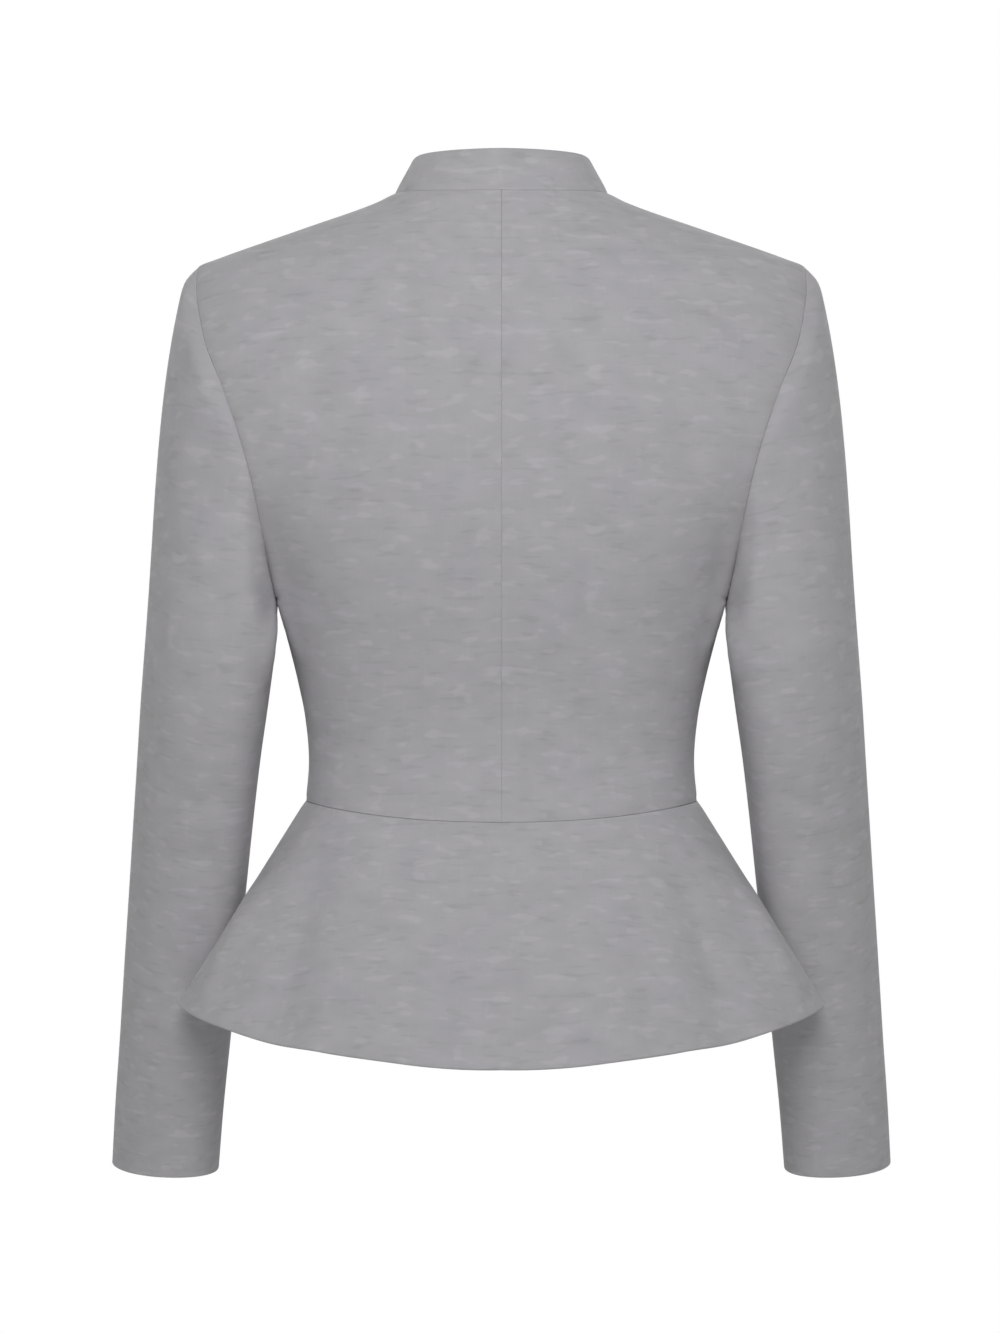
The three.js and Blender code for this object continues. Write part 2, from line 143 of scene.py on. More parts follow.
def entries(length: np.ndarray, walked: np.ndarray) -> np.ndarray:
    """Turns lengths walked along a line into fractional entry numbers, also past its ends.

    Args:
        length: The length walked up to each entry.
        walked: The lengths to turn.

    Returns:
        The entry numbers.
    """
    before = np.minimum(walked, 0) / (length[1] - length[0])
    after = np.maximum(walked - length[-1], 0) / (length[-1] - length[-2])
    return np.interp(walked, length, np.arange(len(length))) + before + after


def mirrored(surface: np.ndarray) -> np.ndarray:
    """The same points on the wearer's other side."""
    return surface * (-1, 1, 1)


def signed_power(value: np.ndarray, power: np.ndarray) -> np.ndarray:
    """A power that keeps the value's sign."""
    return np.sign(value) * np.abs(value) ** power


@dataclass(frozen=True)
class BodiceForm:
    """The filled-out bodice as horizontal rings, with its seams as angles round them.

    Lengths are in millimetres. A ring has half its width, its depths behind and in front, how
    square it is, and how far its front half is tucked in at the side. The armhole's table says
    how far to the side its seam lies on the back and on the front.
    """

    shoulder_z: float = -46.5
    neck_corner_z: float = -75.0
    underarm_z: float = -262.0
    waist_ease_z: float = -330.0
    waist_z: float = -393.0
    neck_dip: float = 4.0
    waist_dip_back: float = 11.0
    waist_dip_front: float = 6.0
    neck_half_width: float = 70.0
    front_edge_x: float = 30.0
    waist_edge_x: float = 27.0
    neckline_roundness: float = 0.6
    tip_height: float = 14.0
    tip_rows: int = 40
    shoulder_rows: int = 130
    armhole_rows: int = 150
    side_rows: int = 100
    columns: int = 320
    rings: dict[str, Curve] = field(default_factory=lambda: curves("z half back front square tuck", (
        (4, 59, 56, 26, 2.0, 0), (0, 70, 59, 30, 2.0, 0), (-6, 82.5, 61.5, 36, 1.9, 0),
        (-23, 131.5, 69, 50, 1.75, 0), (-42, 186, 77, 63, 1.65, 0), (-46.5, 197, 79, 66, 1.65, 0),
        (-61, 204, 84, 74, 1.75, 6), (-80, 207.5, 89, 82, 1.95, 14), (-100, 209, 92.5, 89, 2.2, 24),
        (-133, 206, 96, 98, 2.45, 31), (-160, 200, 98, 105, 2.5, 33), (-185, 190, 98, 111, 2.5, 27),
        (-210, 174, 96.5, 115, 2.5, 14), (-235, 157, 94, 116, 2.5, 4.5),
        (-262, 146.5, 89, 114, 2.45, 0), (-289, 138.8, 82.5, 109, 2.4, 0),
        (-315, 132.3, 76.5, 103, 2.35, 0), (-341, 127.2, 72, 97, 2.3, 0),
        (-367, 125.1, 70.5, 93, 2.25, 0), (-393, 127.3, 74.5, 93, 2.2, 0),
        (-410, 131, 79, 95, 2.2, 0),
    )))
    armhole: dict[str, Curve] = field(default_factory=lambda: curves("z back front", (
        (-46.5, 197, 197), (-61, 197, 193), (-80, 194, 185), (-100, 189, 175), (-133, 175, 163),
        (-160, 165, 156), (-185, 158, 151.5), (-210, 153, 148.5), (-235, 149.5, 147),
        (-262, 146.5, 146.5),
    )))

    def half(self, z: np.ndarray, front: np.ndarray | bool) -> np.ndarray:
        """Half the ring's width at a height, on the front or on the back."""
        return self.rings["half"](z) - np.where(front, self.rings["tuck"](z), 0)

    def point(self, angle: np.ndarray, z: np.ndarray) -> np.ndarray:
        """A point on the bodice.

        Args:
            angle: Degrees round it: 0 at the centre back, 90 at the side and 180 in front.
            z: The height that the point's row has at the side.

        Returns:
            The points, in millimetres.
        """
        turn = np.radians(angle)
        back = np.abs(angle) < 90
        neck = np.where(back, self.neck_dip * np.clip(1 - z / self.shoulder_z, 0, 1), 0)
        waist = np.where(back, self.waist_dip_back, self.waist_dip_front) * np.clip(
            (z - self.waist_ease_z) / (self.waist_z - self.waist_ease_z), 0, 1)
        level = z - np.cos(turn) ** 2 * (neck + waist)
        front = np.abs(angle) > 90
        depth = np.where(front, self.rings["front"](level), self.rings["back"](level))
        power = 2 / self.rings["square"](level)
        across = self.half(level, front) * signed_power(np.sin(turn), power)
        return np.stack([across, depth * signed_power(np.cos(turn), power), level], axis=-1)

    def normal(self, angle: np.ndarray, z: np.ndarray, step: float = 0.4) -> np.ndarray:
        """Finds the bodice's outward directions by small steps either way.

        Args:
            angle: Degrees round it.
            z: The height that the point's row has at the side.
            step: The steps' size, in degrees and in millimetres.

        Returns:
            The directions, each of length one.
        """
        across = self.point(angle + step, z) - self.point(angle - step, z)
        upward = self.point(angle, z + step) - self.point(angle, z - step)
        here = self.point(angle, z)
        found = unit(np.cross(across, upward))
        outside = np.sum(found[..., :2] * here[..., :2], axis=-1, keepdims=True)
        return found * np.where(outside < 0, -1, 1)

    def angle_at(self, x: np.ndarray, z: np.ndarray, front: bool) -> np.ndarray:
        """Finds the angle of a place by how far to the side it lies.

        Args:
            x: How far to the side it lies.
            z: Its height.
            front: Whether it is on the front.

        Returns:
            The angle, in degrees.
        """
        share = np.minimum(1, x / self.half(z, front)) ** (self.rings["square"](z) / 2)
        turn = np.degrees(np.arcsin(share))
        return 180 - turn if front else turn

    def side_angle(self, z: np.ndarray, front: bool) -> np.ndarray:
        """Finds where a panel ends: at the armhole, or else at the shoulder or side seam.

        Args:
            z: Heights.
            front: Whether the panel is a front.

        Returns:
            The angles there, in degrees.
        """
        seam = self.armhole["front" if front else "back"](z)
        opened = (z < self.shoulder_z) & (z > self.underarm_z)
        return np.where(opened, self.angle_at(seam, z, front), 90.0)

    def front_edge_angle(self, z: np.ndarray) -> np.ndarray:
        """Finds where a front ends in the middle: at the neckline, and below it at the front edge.

        Args:
            z: Heights.

        Returns:
            The angles there, in degrees.
        """
        down = np.clip(z / self.neck_corner_z, 0, 1)
        above = (1 - down) ** self.neckline_roundness
        neckline = self.front_edge_x + (self.neck_half_width - self.front_edge_x) * above
        below = np.clip((z - self.neck_corner_z) / (self.waist_z - self.neck_corner_z), 0, 1)
        edge = self.front_edge_x + (self.waist_edge_x - self.front_edge_x) * below
        return self.angle_at(np.where(z > self.neck_corner_z, neckline, edge), z, True)

    def heights(self) -> np.ndarray:
        """Lists the rows' heights, which lie closest just below the shoulder point.

        Returns:
            The heights, from the waist seam up to the neck seam.
        """
        tip = self.shoulder_z - self.tip_height * np.linspace(1, 0, self.tip_rows) ** 2
        return np.concatenate([
            np.linspace(self.waist_z, self.underarm_z, self.side_rows)[:-1],
            np.linspace(self.underarm_z, tip[0], self.armhole_rows)[:-1],
            tip[:-1],
            np.linspace(self.shoulder_z, 0, self.shoulder_rows),
        ])

    def panel(self, front: bool) -> np.ndarray:
        """Draws the left back or the left front.

        Args:
            front: Whether it is the front.

        Returns:
            The dense surface, row by row from the waist and from the middle outwards.
        """
        z = self.heights()[:, None]
        share = np.linspace(0, 1, self.columns)[None, :]
        middle = self.front_edge_angle(z) if front else np.zeros_like(z)
        angle = middle + (self.side_angle(z, front) - middle) * share
        return self.point(angle, np.broadcast_to(z, angle.shape))


@dataclass(frozen=True)
class PeplumForm:
    """The flared peplum: straight lines from the waist seam down to a hem seen from above.

    The hem's table gives its places by the angle round the bodice.
    """

    bodice: BodiceForm
    length_centre: float = 164.0
    length_side: float = 155.5
    columns_per_degree: int = 3
    rows: int = 160
    hem: dict[str, Curve] = field(default_factory=lambda: curves("angle x y", (
        (0, 0, 148), (20, 62, 144), (38, 112, 128), (52, 143, 103), (66, 174, 78), (80, 200, 40),
        (90, 209.5, 11), (97, 191, -6), (106, 171, -27), (120, 163, -67), (135, 145, -117),
        (150, 104, -149), (170, 46, -165),
    )))

    def panel(self, start: float, end: float) -> np.ndarray:
        """Draws the peplum between two angles.

        Args:
            start: The angle of its first edge, in degrees.
            end: The angle of its last edge.

        Returns:
            The dense surface, row by row from the waist seam.
        """
        columns = int(abs(end - start) * self.columns_per_degree) + 1
        angle = np.linspace(start, end, columns)[None, :]
        down = np.linspace(0, 1, self.rows)[:, None, None]
        top = self.bodice.point(angle, np.full_like(angle, self.bodice.waist_z))
        side = np.where(angle < 0, -1, 1)
        turned = np.abs(angle)
        out_x = side * self.hem["x"](turned) - top[..., 0]
        out_y = self.hem["y"](turned) - top[..., 1]
        centre = np.cos(np.radians(angle)) ** 2
        length = self.length_side + (self.length_centre - self.length_side) * centre
        fall = np.sqrt(length ** 2 - out_x ** 2 - out_y ** 2)
        return top + down * np.stack([out_x, out_y, -fall], axis=-1)


@dataclass(frozen=True)
class SleeveForm:
    """The left sleeve: it rolls out of the armhole, falls, and bends forward at the elbow.

    A ring of the arm has its inner and outer side, its depth from back to front, where the
    depth's middle lies, and how square its inner half is.
    """

    bodice: BodiceForm
    seam_gap: float = 0.05
    roll_out: float = 8.7
    roll_off_body: float = 0.7
    roll_down_shoulder: float = 9.6
    roll_down_underarm: float = 6.0
    fall: tuple[float, float, float] = (0.09, -0.14, -1.0)
    fall_share: float = 0.76
    cuff_tilt: float = 3.0
    lean: float = 16.0
    top_z: float = -300.0
    cuff_z: float = -641.0
    columns: int = 281
    tangent_reach: int = 4
    roll_rows: int = 8
    cap_rows: int = 150
    arm_rows: int = 240
    even_rows: int = 420
    smoothing_rounds: int = 14
    smoothing_share: float = 0.25
    rings: dict[str, Curve] = field(default_factory=lambda: curves("z inner outer depth y square", (
        (-300, 146.2, 233.4, 113, 2, 2.8), (-330, 150.6, 236.1, 109, -3.5, 2.8),
        (-367, 156.4, 239.1, 103, -12, 2.8), (-407, 161.8, 242.6, 98, -23, 2.8),
        (-447, 166.7, 246.1, 95, -34, 2.75), (-500, 173, 250.6, 92, -46, 2.6),
        (-555, 179.7, 255.2, 89, -59, 2.45), (-600, 185, 259.2, 86, -69, 2.3),
        (-641, 189, 262.3, 84, -79, 2.15),
    )))

    def loop(self) -> tuple[np.ndarray, np.ndarray]:
        """Walks the armhole seam from the underarm up the front and down the back.

        Returns:
            Its evenly spaced points and the bodice's outward directions there.
        """
        heights = self.bodice.heights()
        z = heights[(heights >= self.bodice.underarm_z) & (heights <= self.bodice.shoulder_z)]
        halves = []
        for front in (True, False):
            angle = self.bodice.side_angle(z, front)
            points = self.bodice.point(angle, z)
            normals = self.bodice.normal(angle, z)
            length = travelled(points)
            spaced = np.linspace(0, length[-1], self.columns // 2 + 1)
            at = np.interp(spaced, length, np.arange(len(z)))
            halves.append((along(points, at), unit(along(normals, at))))
        (up, up_normal), (down, down_normal) = halves
        points = np.concatenate([up, down[-2::-1]])
        return points, np.concatenate([up_normal, down_normal[-2::-1]])

    def ring(self, angle: np.ndarray, z: np.ndarray) -> np.ndarray:
        """Finds points of the arm, squarer on its inner half and with its back leaning inwards.

        Args:
            angle: Degrees round it: 0 on the outer side and 90 behind.
            z: Heights.

        Returns:
            The points, in millimetres.
        """
        inner, outer = self.rings["inner"](z), self.rings["outer"](z)
        out, back = np.cos(np.radians(angle + self.lean)), np.sin(np.radians(angle))
        power = 2 / np.where(out < 0, self.rings["square"](z), 2.0)
        out, back = signed_power(out, power), signed_power(back, power)
        waist = self.bodice.waist_z
        tilt = self.cuff_tilt * np.clip((z - waist) / (self.cuff_z - waist), 0, 1)
        return np.stack([
            (inner + outer) / 2 + (outer - inner) / 2 * out,
            self.rings["y"](z) + back * self.rings["depth"](z) / 2,
            z - tilt * back,
        ], axis=-1)

    def angles(self, seam: np.ndarray) -> np.ndarray:
        """Finds where the seam's points lie round the sleeve.

        Args:
            seam: The armhole seam's points.

        Returns:
            Degrees from -180 at the underarm, through 0 at the shoulder, to 180.
        """
        length = travelled(seam)
        top = length[len(seam) // 2]
        up, down = -180 * (1 - length / top), 180 * (length - top) / (length[-1] - top)
        return np.where(length <= top, up, down)

    def rolled(self, seam: np.ndarray, normal: np.ndarray,
               shoulder: np.ndarray) -> tuple[np.ndarray, np.ndarray]:
        """Rolls the cloth out of the armhole seam.

        Args:
            seam: The seam's points.
            normal: The bodice's outward directions there.
            shoulder: How near the shoulder each point is, from 0 to 1.

        Returns:
            Where the sleeve starts, just off the seam, and how far it rolls from there.
        """
        before = np.roll(seam[:-1], self.tangent_reach, axis=0)
        after = np.roll(seam[:-1], -self.tangent_reach, axis=0)
        tangent = unit(np.concatenate([after - before, (after - before)[:1]]))
        away = unit(np.cross(tangent, normal))
        drop = self.roll_down_underarm + (self.roll_down_shoulder - self.roll_down_underarm) * shoulder
        roll = np.concatenate([self.roll_out * shoulder, 0 * shoulder, -drop], axis=1)
        roll = roll + normal * self.roll_off_body
        folds_back = np.maximum(0, -np.sum(unit(roll) * away, axis=1, keepdims=True))
        return seam + self.seam_gap * (away + normal * folds_back), roll

    def cap(self, head: np.ndarray, roll: np.ndarray, below: np.ndarray) -> np.ndarray:
        """Lets the cloth fall in a smooth curve from its roll to the arm.

        Args:
            head: Where the roll ends.
            roll: How far the cloth has rolled.
            below: The arm's first ring.

        Returns:
            The rows in between.
        """
        fall = unit(np.array(self.fall))
        third = np.linalg.norm(below - head, axis=1, keepdims=True) / 3
        leave = unit(unit(roll) * (1 - self.fall_share) + fall * self.fall_share)
        lead, arrive = head + leave * third, below - fall * third
        t = np.linspace(0, 1, self.cap_rows)[:, None, None]
        return ((1 - t) ** 3 * head + 3 * (1 - t) ** 2 * t * lead
                + 3 * (1 - t) * t ** 2 * arrive + t ** 3 * below)

    def evened(self, rows: np.ndarray) -> np.ndarray:
        """Spaces the rows evenly down each column and smooths the bends between them.

        Args:
            rows: The rows as drawn.

        Returns:
            The even rows.
        """
        even = np.empty((self.even_rows, rows.shape[1], 3))
        for column in range(rows.shape[1]):
            walked = travelled(rows[:, column])
            spaced = np.linspace(0, walked[-1], self.even_rows)
            even[:, column] = along(rows[:, column], np.interp(spaced, walked, np.arange(len(rows))))
        for _ in range(self.smoothing_rounds):
            even[1:-1] += self.smoothing_share * (even[:-2] + even[2:] - 2 * even[1:-1])
        return even

    def panel(self) -> np.ndarray:
        """Draws the left sleeve.

        Returns:
            The dense surface, row by row from the armhole down to the cuff.
        """
        seam, normal = self.loop()
        angle = self.angles(seam)
        shoulder = ((1 + np.cos(np.radians(angle))) / 2)[:, None]
        start, roll = self.rolled(seam, normal, shoulder)
        step = np.linspace(0, 1, self.roll_rows + 1)[:-1, None, None]
        cap = self.cap(start + roll, roll, self.ring(angle, np.full_like(angle, self.top_z)))
        z = np.linspace(self.top_z, self.cuff_z, self.arm_rows)[1:, None]
        arm = self.ring(angle[None, :], np.broadcast_to(z, (len(z), len(angle))))
        return self.evened(np.concatenate([start + step * roll, cap, arm]))


@dataclass(frozen=True)
class CollarForm:
    """The stand collar: a band that leans in towards the neck, with rounded front corners."""

    bodice: BodiceForm
    top_z: float = 24.0
    front_rise: float = 24.0
    lean_back: float = 8.0
    lean_side: float = 12.5
    axis_y: float = -10.0
    corner: float = 12.0
    side_dip: float = 0.1
    dip_reach: float = 20.0
    seam_gap: float = 0.05
    back_points: int = 140
    front_points: int = 160
    half_columns: int = 190
    rows: int = 40

    def seam(self) -> np.ndarray:
        """Walks the neck seam from the right front edge round the back to the left one.

        Returns:
            Its evenly spaced points.
        """
        bodice = self.bodice
        back = bodice.point(np.linspace(0, 90, self.back_points), np.zeros(self.back_points))
        z = np.linspace(0, bodice.neck_corner_z, self.front_points)[1:]
        half = np.concatenate([back, bodice.point(bodice.front_edge_angle(z), z)])
        walked = travelled(half)
        spaced = np.linspace(0, walked[-1], self.half_columns)
        half = along(half, np.interp(spaced, walked, np.arange(len(half))))
        return np.concatenate([mirrored(half[:0:-1]), half])

    def panel(self) -> np.ndarray:
        """Draws the band.

        Returns:
            The dense surface, row by row from the neck seam and from right to left.
        """
        line = self.seam()
        walked = travelled(line)
        reach = np.minimum(walked, walked[-1] - walked)
        inwards = np.stack([-line[:, 0], self.axis_y - line[:, 1]], axis=1)
        inwards = unit(np.concatenate([inwards, np.zeros((len(line), 1))], axis=1))
        aside = np.where(line[:, 1] < 0, 1, np.abs(line[:, 0]) / self.bodice.neck_half_width)
        lean = self.lean_back + (self.lean_side - self.lean_back) * np.clip(aside, 0, 1)
        dip = self.side_dip * np.exp(-((line[:, 1] / self.dip_reach) ** 2))
        rise = np.where(line[:, 1] < 0, self.front_rise, self.top_z - line[:, 2]) * (1 - dip)
        short = np.maximum(0, self.corner - reach)
        cut = self.corner - np.sqrt(self.corner ** 2 - short ** 2)
        up = inwards * lean[:, None] + np.stack([0 * rise, 0 * rise, rise], axis=1)
        height = np.linalg.norm(up, axis=1) - cut
        share = np.linspace(0, 1, self.rows)[:, None]
        lift = self.seam_gap + (height[None, :] - self.seam_gap) * share
        return line[None] + unit(up)[None] * lift[..., None]


# Sheets of cloth

@dataclass(frozen=True)
class Border:
    """How a sheet ends, as steps of (distance from its edge line, depth below its face).

    ROUND holds the angles of a turned edge's steps, BESIDE their distances on the flat beside
    it, and TURNING the shares of a turning's depth that have one. PRESS_REACH is how wide a
    seam's hollow is, and FARTHEST the most of a sheet's length that its steps may take.
    """

    ROUND: ClassVar[tuple[int, ...]] = (0, 22, 45, 67, 90)
    BESIDE: ClassVar[tuple[float, ...]] = (0.8, 1.8, 3.2, 5.0, 7.5)
    TURNING: ClassVar[tuple[float, ...]] = (1, 0.985, 0.8, 0.6, 0.4, 0.22, 0.12)
    PRESS_REACH: ClassVar[float] = 3.4
    FARTHEST: ClassVar[float] = 0.93

    steps: tuple[tuple[float, float], ...]

    @staticmethod
    def bend(angles: Sequence[float], radius: float, gap: float,
             press: float = 0.0) -> list[tuple[float, float]]:
        """Takes steps round a turned edge.

        Args:
            angles: Where, in degrees: -90 on the inside, 0 at the very edge, 90 on the face.
            radius: The edge's radius.
            gap: How far it lies from the edge line.
            press: How deep it lies below the face.

        Returns:
            The steps.
        """
        turns = [math.radians(angle) for angle in angles]
        return [(gap + radius * (1 - math.cos(turn)), press + radius * (1 - math.sin(turn)))
                for turn in turns]

    @classmethod
    def seam(cls, roll: float = 0.3, turn_in: float = 1.0, gap: float = 0.02, lap: float = 0.0,
             press: float = 0.0) -> Border:
        """An edge that is sewn to its neighbour and turns in to the seam allowance.

        Args:
            roll: The radius at which the cloth turns in.
            turn_in: How far it goes on inwards.
            gap: How far it ends from the seam line.
            lap: How far the allowance then goes on under the neighbour.
            press: How deep the soft hollow is in which the seam lies.

        Returns:
            The border.
        """
        deep = press + roll + turn_in
        under = [(gap - lap, deep), (gap - lap / 2, deep)] if lap else []
        turned = [(gap, deep), (gap, deep - turn_in / 2)]
        flat = [(gap + roll + beside, press * math.exp(-((beside / cls.PRESS_REACH) ** 2)))
                for beside in cls.BESIDE]
        return cls(tuple(under + turned + cls.bend(cls.ROUND, roll, gap, press) + flat))

    @classmethod
    def fold(cls, radius: float = 1.2, turn_back: float = 25.0) -> Border:
        """A free edge whose cloth is folded back on its inside.

        Args:
            radius: Half the folded edge's thickness.
            turn_back: How deep the turning is.

        Returns:
            The border.
        """
        inner = [(radius + turn_back * share, 2 * radius) for share in cls.TURNING]
        inside = [-angle for angle in cls.ROUND[:0:-1]]
        flat = [(radius + beside, 0.0) for beside in cls.BESIDE]
        return cls(tuple(inner + cls.bend([*inside, *cls.ROUND], radius, 0.0) + flat))

    def distances(self, length: float) -> np.ndarray:
        """The steps' distances, none past most of the sheet's length."""
        return np.minimum([distance for distance, _ in self.steps], self.FARTHEST * length)

    def depths(self) -> np.ndarray:
        """The steps' depths."""
        return np.array([depth for _, depth in self.steps])


class Side(Enum):
    """The side that a crease is seen from, as that side's direction along Y."""

    BACK = 1
    FRONT = -1


@dataclass(frozen=True)
class Crease:
    """A soft trough or ridge across the cloth, placed as it is seen from one side.

    The path's places are (distance towards the wearer's left, height), in millimetres, and a
    trough has a negative depth. FACING is how far the cloth must face the side to be seen from
    it, and TAPER how bluntly the crease's ends run out.
    """

    FACING: ClassVar[float] = 0.05
    TAPER: ClassVar[float] = 0.8

    seen_from: Side
    path: tuple[tuple[float, float], ...]
    depth: float
    width: float

    def line(self, seen: np.ndarray) -> np.ndarray:
        """Finds the path on the cloth.

        Args:
            seen: The sheet's points that are seen from the side.

        Returns:
            The point nearest to each of the path's places.
        """
        return np.array([seen[np.argmin((seen[:, 0] - x) ** 2 + (seen[:, 2] - z) ** 2)]
                         for x, z in self.path])

    def lift(self, points: np.ndarray, normals: np.ndarray) -> np.ndarray:
        """Works out how far the crease moves each point outwards.

        Args:
            points: The sheet's points, in millimetres.
            normals: Their outward directions.

        Returns:
            The moves along the outward directions.
        """
        seen = normals[..., 1] * self.seen_from.value > self.FACING
        if not seen.any():
            return np.zeros(points.shape[:-1])
        line = self.line(points[seen])
        walked = travelled(line)
        nearest = np.full(points.shape[:-1], np.inf)
        place = np.zeros(points.shape[:-1])
        for a, b, start, end in zip(line[:-1], line[1:], walked[:-1], walked[1:]):
            chord = b - a
            t = np.clip(np.sum((points - a) * chord, axis=-1) / max(chord @ chord, TINY), 0, 1)
            gap = np.linalg.norm(points - a - t[..., None] * chord, axis=-1)
            place = np.where(gap < nearest, start + (end - start) * t, place)
            nearest = np.minimum(gap, nearest)
        share = np.clip(place / max(walked[-1], TINY), 0, 1)
        taper = np.abs(np.sin(np.pi * share)) ** self.TAPER
        return self.depth * np.exp(-((nearest / self.width) ** 2)) * taper


@dataclass(frozen=True)
class Cut:
    """A flat cut: its width and length in metres and its area in square metres."""

    width: float
    length: float
    area: float


@dataclass
class Sheet:
    """One piece of cloth, drawn from a dense surface with its borders turned and folded.

    Lengths are in millimetres. The centre is a point, or one for each row, that the face looks
    away from. Anchors are dense rows that the drawn rows pass through. The grain column is the
    share of the width at which the cloth lies on its straight grain. A pillow is half the
    thickness of a double piece, whose layers meet at its ends.
    """

    name: str
    surface: np.ndarray
    centre: np.ndarray
    first_row: Border
    last_row: Border
    first_column: Border
    last_column: Border
    rows: int
    columns: int
    anchors: tuple[int, ...] = ()
    creases: tuple[Crease, ...] = ()
    grain_column: float = 0.0
    pillow: float = 0.0
    thickness: float = 0.9

    def _normals(self) -> np.ndarray:
        """Finds the dense surface's outward directions.

        Returns:
            The directions, each of length one.
        """
        across = np.gradient(self.surface, axis=1)
        downward = np.gradient(self.surface, axis=0)
        found = unit(np.cross(across, downward))
        outside = np.mean(np.sum(found * (self.surface - self.centre), axis=-1))
        return found if outside > 0 else -found

    def _places(self, line: np.ndarray, first: Border, last: Border, inner: np.ndarray) -> np.ndarray:
        """Finds where a line of the dense surface is read.

        Args:
            line: The line's points.
            first: The border at its start.
            last: The border at its end.
            inner: Shares of the way between the two borders' innermost steps.

        Returns:
            The places in order, as fractional entry numbers.
        """
        length = travelled(line)
        start = entries(length, first.distances(length[-1]))
        end = entries(length, length[-1] - last.distances(length[-1])[::-1])
        return np.concatenate([start, start[-1] + (end[0] - start[-1]) * inner, end])

    def _row_shares(self) -> np.ndarray:
        """Spaces the inner rows so that one passes through each anchor.

        Returns:
            Their shares of the way.
        """
        total = len(self.surface) - 1
        stops = [0.0, *[anchor / total for anchor in self.anchors], 1.0]
        shares: list[float] = []
        for low, high in zip(stops[:-1], stops[1:]):
            count = max(2, round(self.rows * (high - low)))
            shares.extend(np.linspace(low, high, count + 1)[1:])
        return np.unique(np.round(shares, 6))[:-1]

    def draw(self) -> tuple[np.ndarray, np.ndarray, np.ndarray]:
        """Works out the sheet's points.

        Returns:
            The points of its face in millimetres, the outward directions and the depths.
        """
        normals = self._normals()
        both = np.concatenate([self.surface, normals], axis=-1)
        shares = self._row_shares()
        drawn = np.stack([
            along(both[:, c], self._places(self.surface[:, c], self.first_row, self.last_row, shares))
            for c in range(both.shape[1])
        ], axis=1)
        inner = np.linspace(0, 1, self.columns + 1)[1:-1]
        drawn = np.stack([
            along(row, self._places(row[:, :3], self.first_column, self.last_column, inner))
            for row in drawn
        ])
        points, normals = drawn[..., :3], unit(drawn[..., 3:])
        rows = np.concatenate([self.first_row.depths(), np.zeros(len(shares)),
                               self.last_row.depths()[::-1]])
        columns = np.concatenate([self.first_column.depths(), np.zeros(len(inner)),
                                  self.last_column.depths()[::-1]])
        if self.pillow:
            closing = 1 - np.clip(columns / self.pillow, 0, 1)
            depths = self.pillow + (rows[:, None] - self.pillow) * closing[None, :]
        else:
            depths = np.maximum(rows[:, None], columns[None, :])
        return points, normals, depths

    def _mesh(self, grid: np.ndarray, outward: Vector) -> bpy.types.Mesh:
        """Makes a mesh of the sheet's face.

        Args:
            grid: The face's rows of points, in metres.
            outward: The outward direction at the grid's middle.

        Returns:
            The mesh, whose faces point outwards.
        """
        rows, columns = grid.shape[:2]
        bm = bmesh.new()
        bmesh.ops.create_grid(bm, x_segments=columns - 1, y_segments=rows - 1, size=1.0)
        for vert in bm.verts:
            column = round((vert.co.x + 1) / 2 * (columns - 1))
            row = round((vert.co.y + 1) / 2 * (rows - 1))
            vert.co = Vector(grid[row, column])
        bm.normal_update()
        halfway = Vector(grid[rows // 2, columns // 2])
        middle = min(bm.faces, key=lambda face: (face.calc_center_median() - halfway).length)
        if middle.normal.dot(outward) < 0:
            bmesh.ops.reverse_faces(bm, faces=bm.faces)
        for face in bm.faces:
            face.smooth = True
        mesh = bpy.data.meshes.new(self.name)
        bm.to_mesh(mesh)
        bm.free()
        return mesh

    def build(self) -> bpy.types.Object:
        """Makes the sheet's object, with its grain laid out flat and its thickness.

        Returns:
            The finished object, in metres.
        """
        points, normals, depths = self.draw()
        lift = sum((crease.lift(points, normals) for crease in self.creases), np.zeros(depths.shape))
        grid = (points + normals * (lift - depths)[..., None]) * MM
        rows, columns = depths.shape
        mesh = self._mesh(grid, Vector(normals[rows // 2, columns // 2]))
        piece = bpy.data.objects.new(self.name, mesh)
        bpy.context.scene.collection.objects.link(piece)
        Grain().lay(piece, grid, round(self.grain_column * (columns - 1)))
        solid = piece.modifiers.new("thickness", "SOLIDIFY")
        solid.thickness = self.thickness * MM
        solid.offset = -1
        solid.use_even_offset = False
        return piece


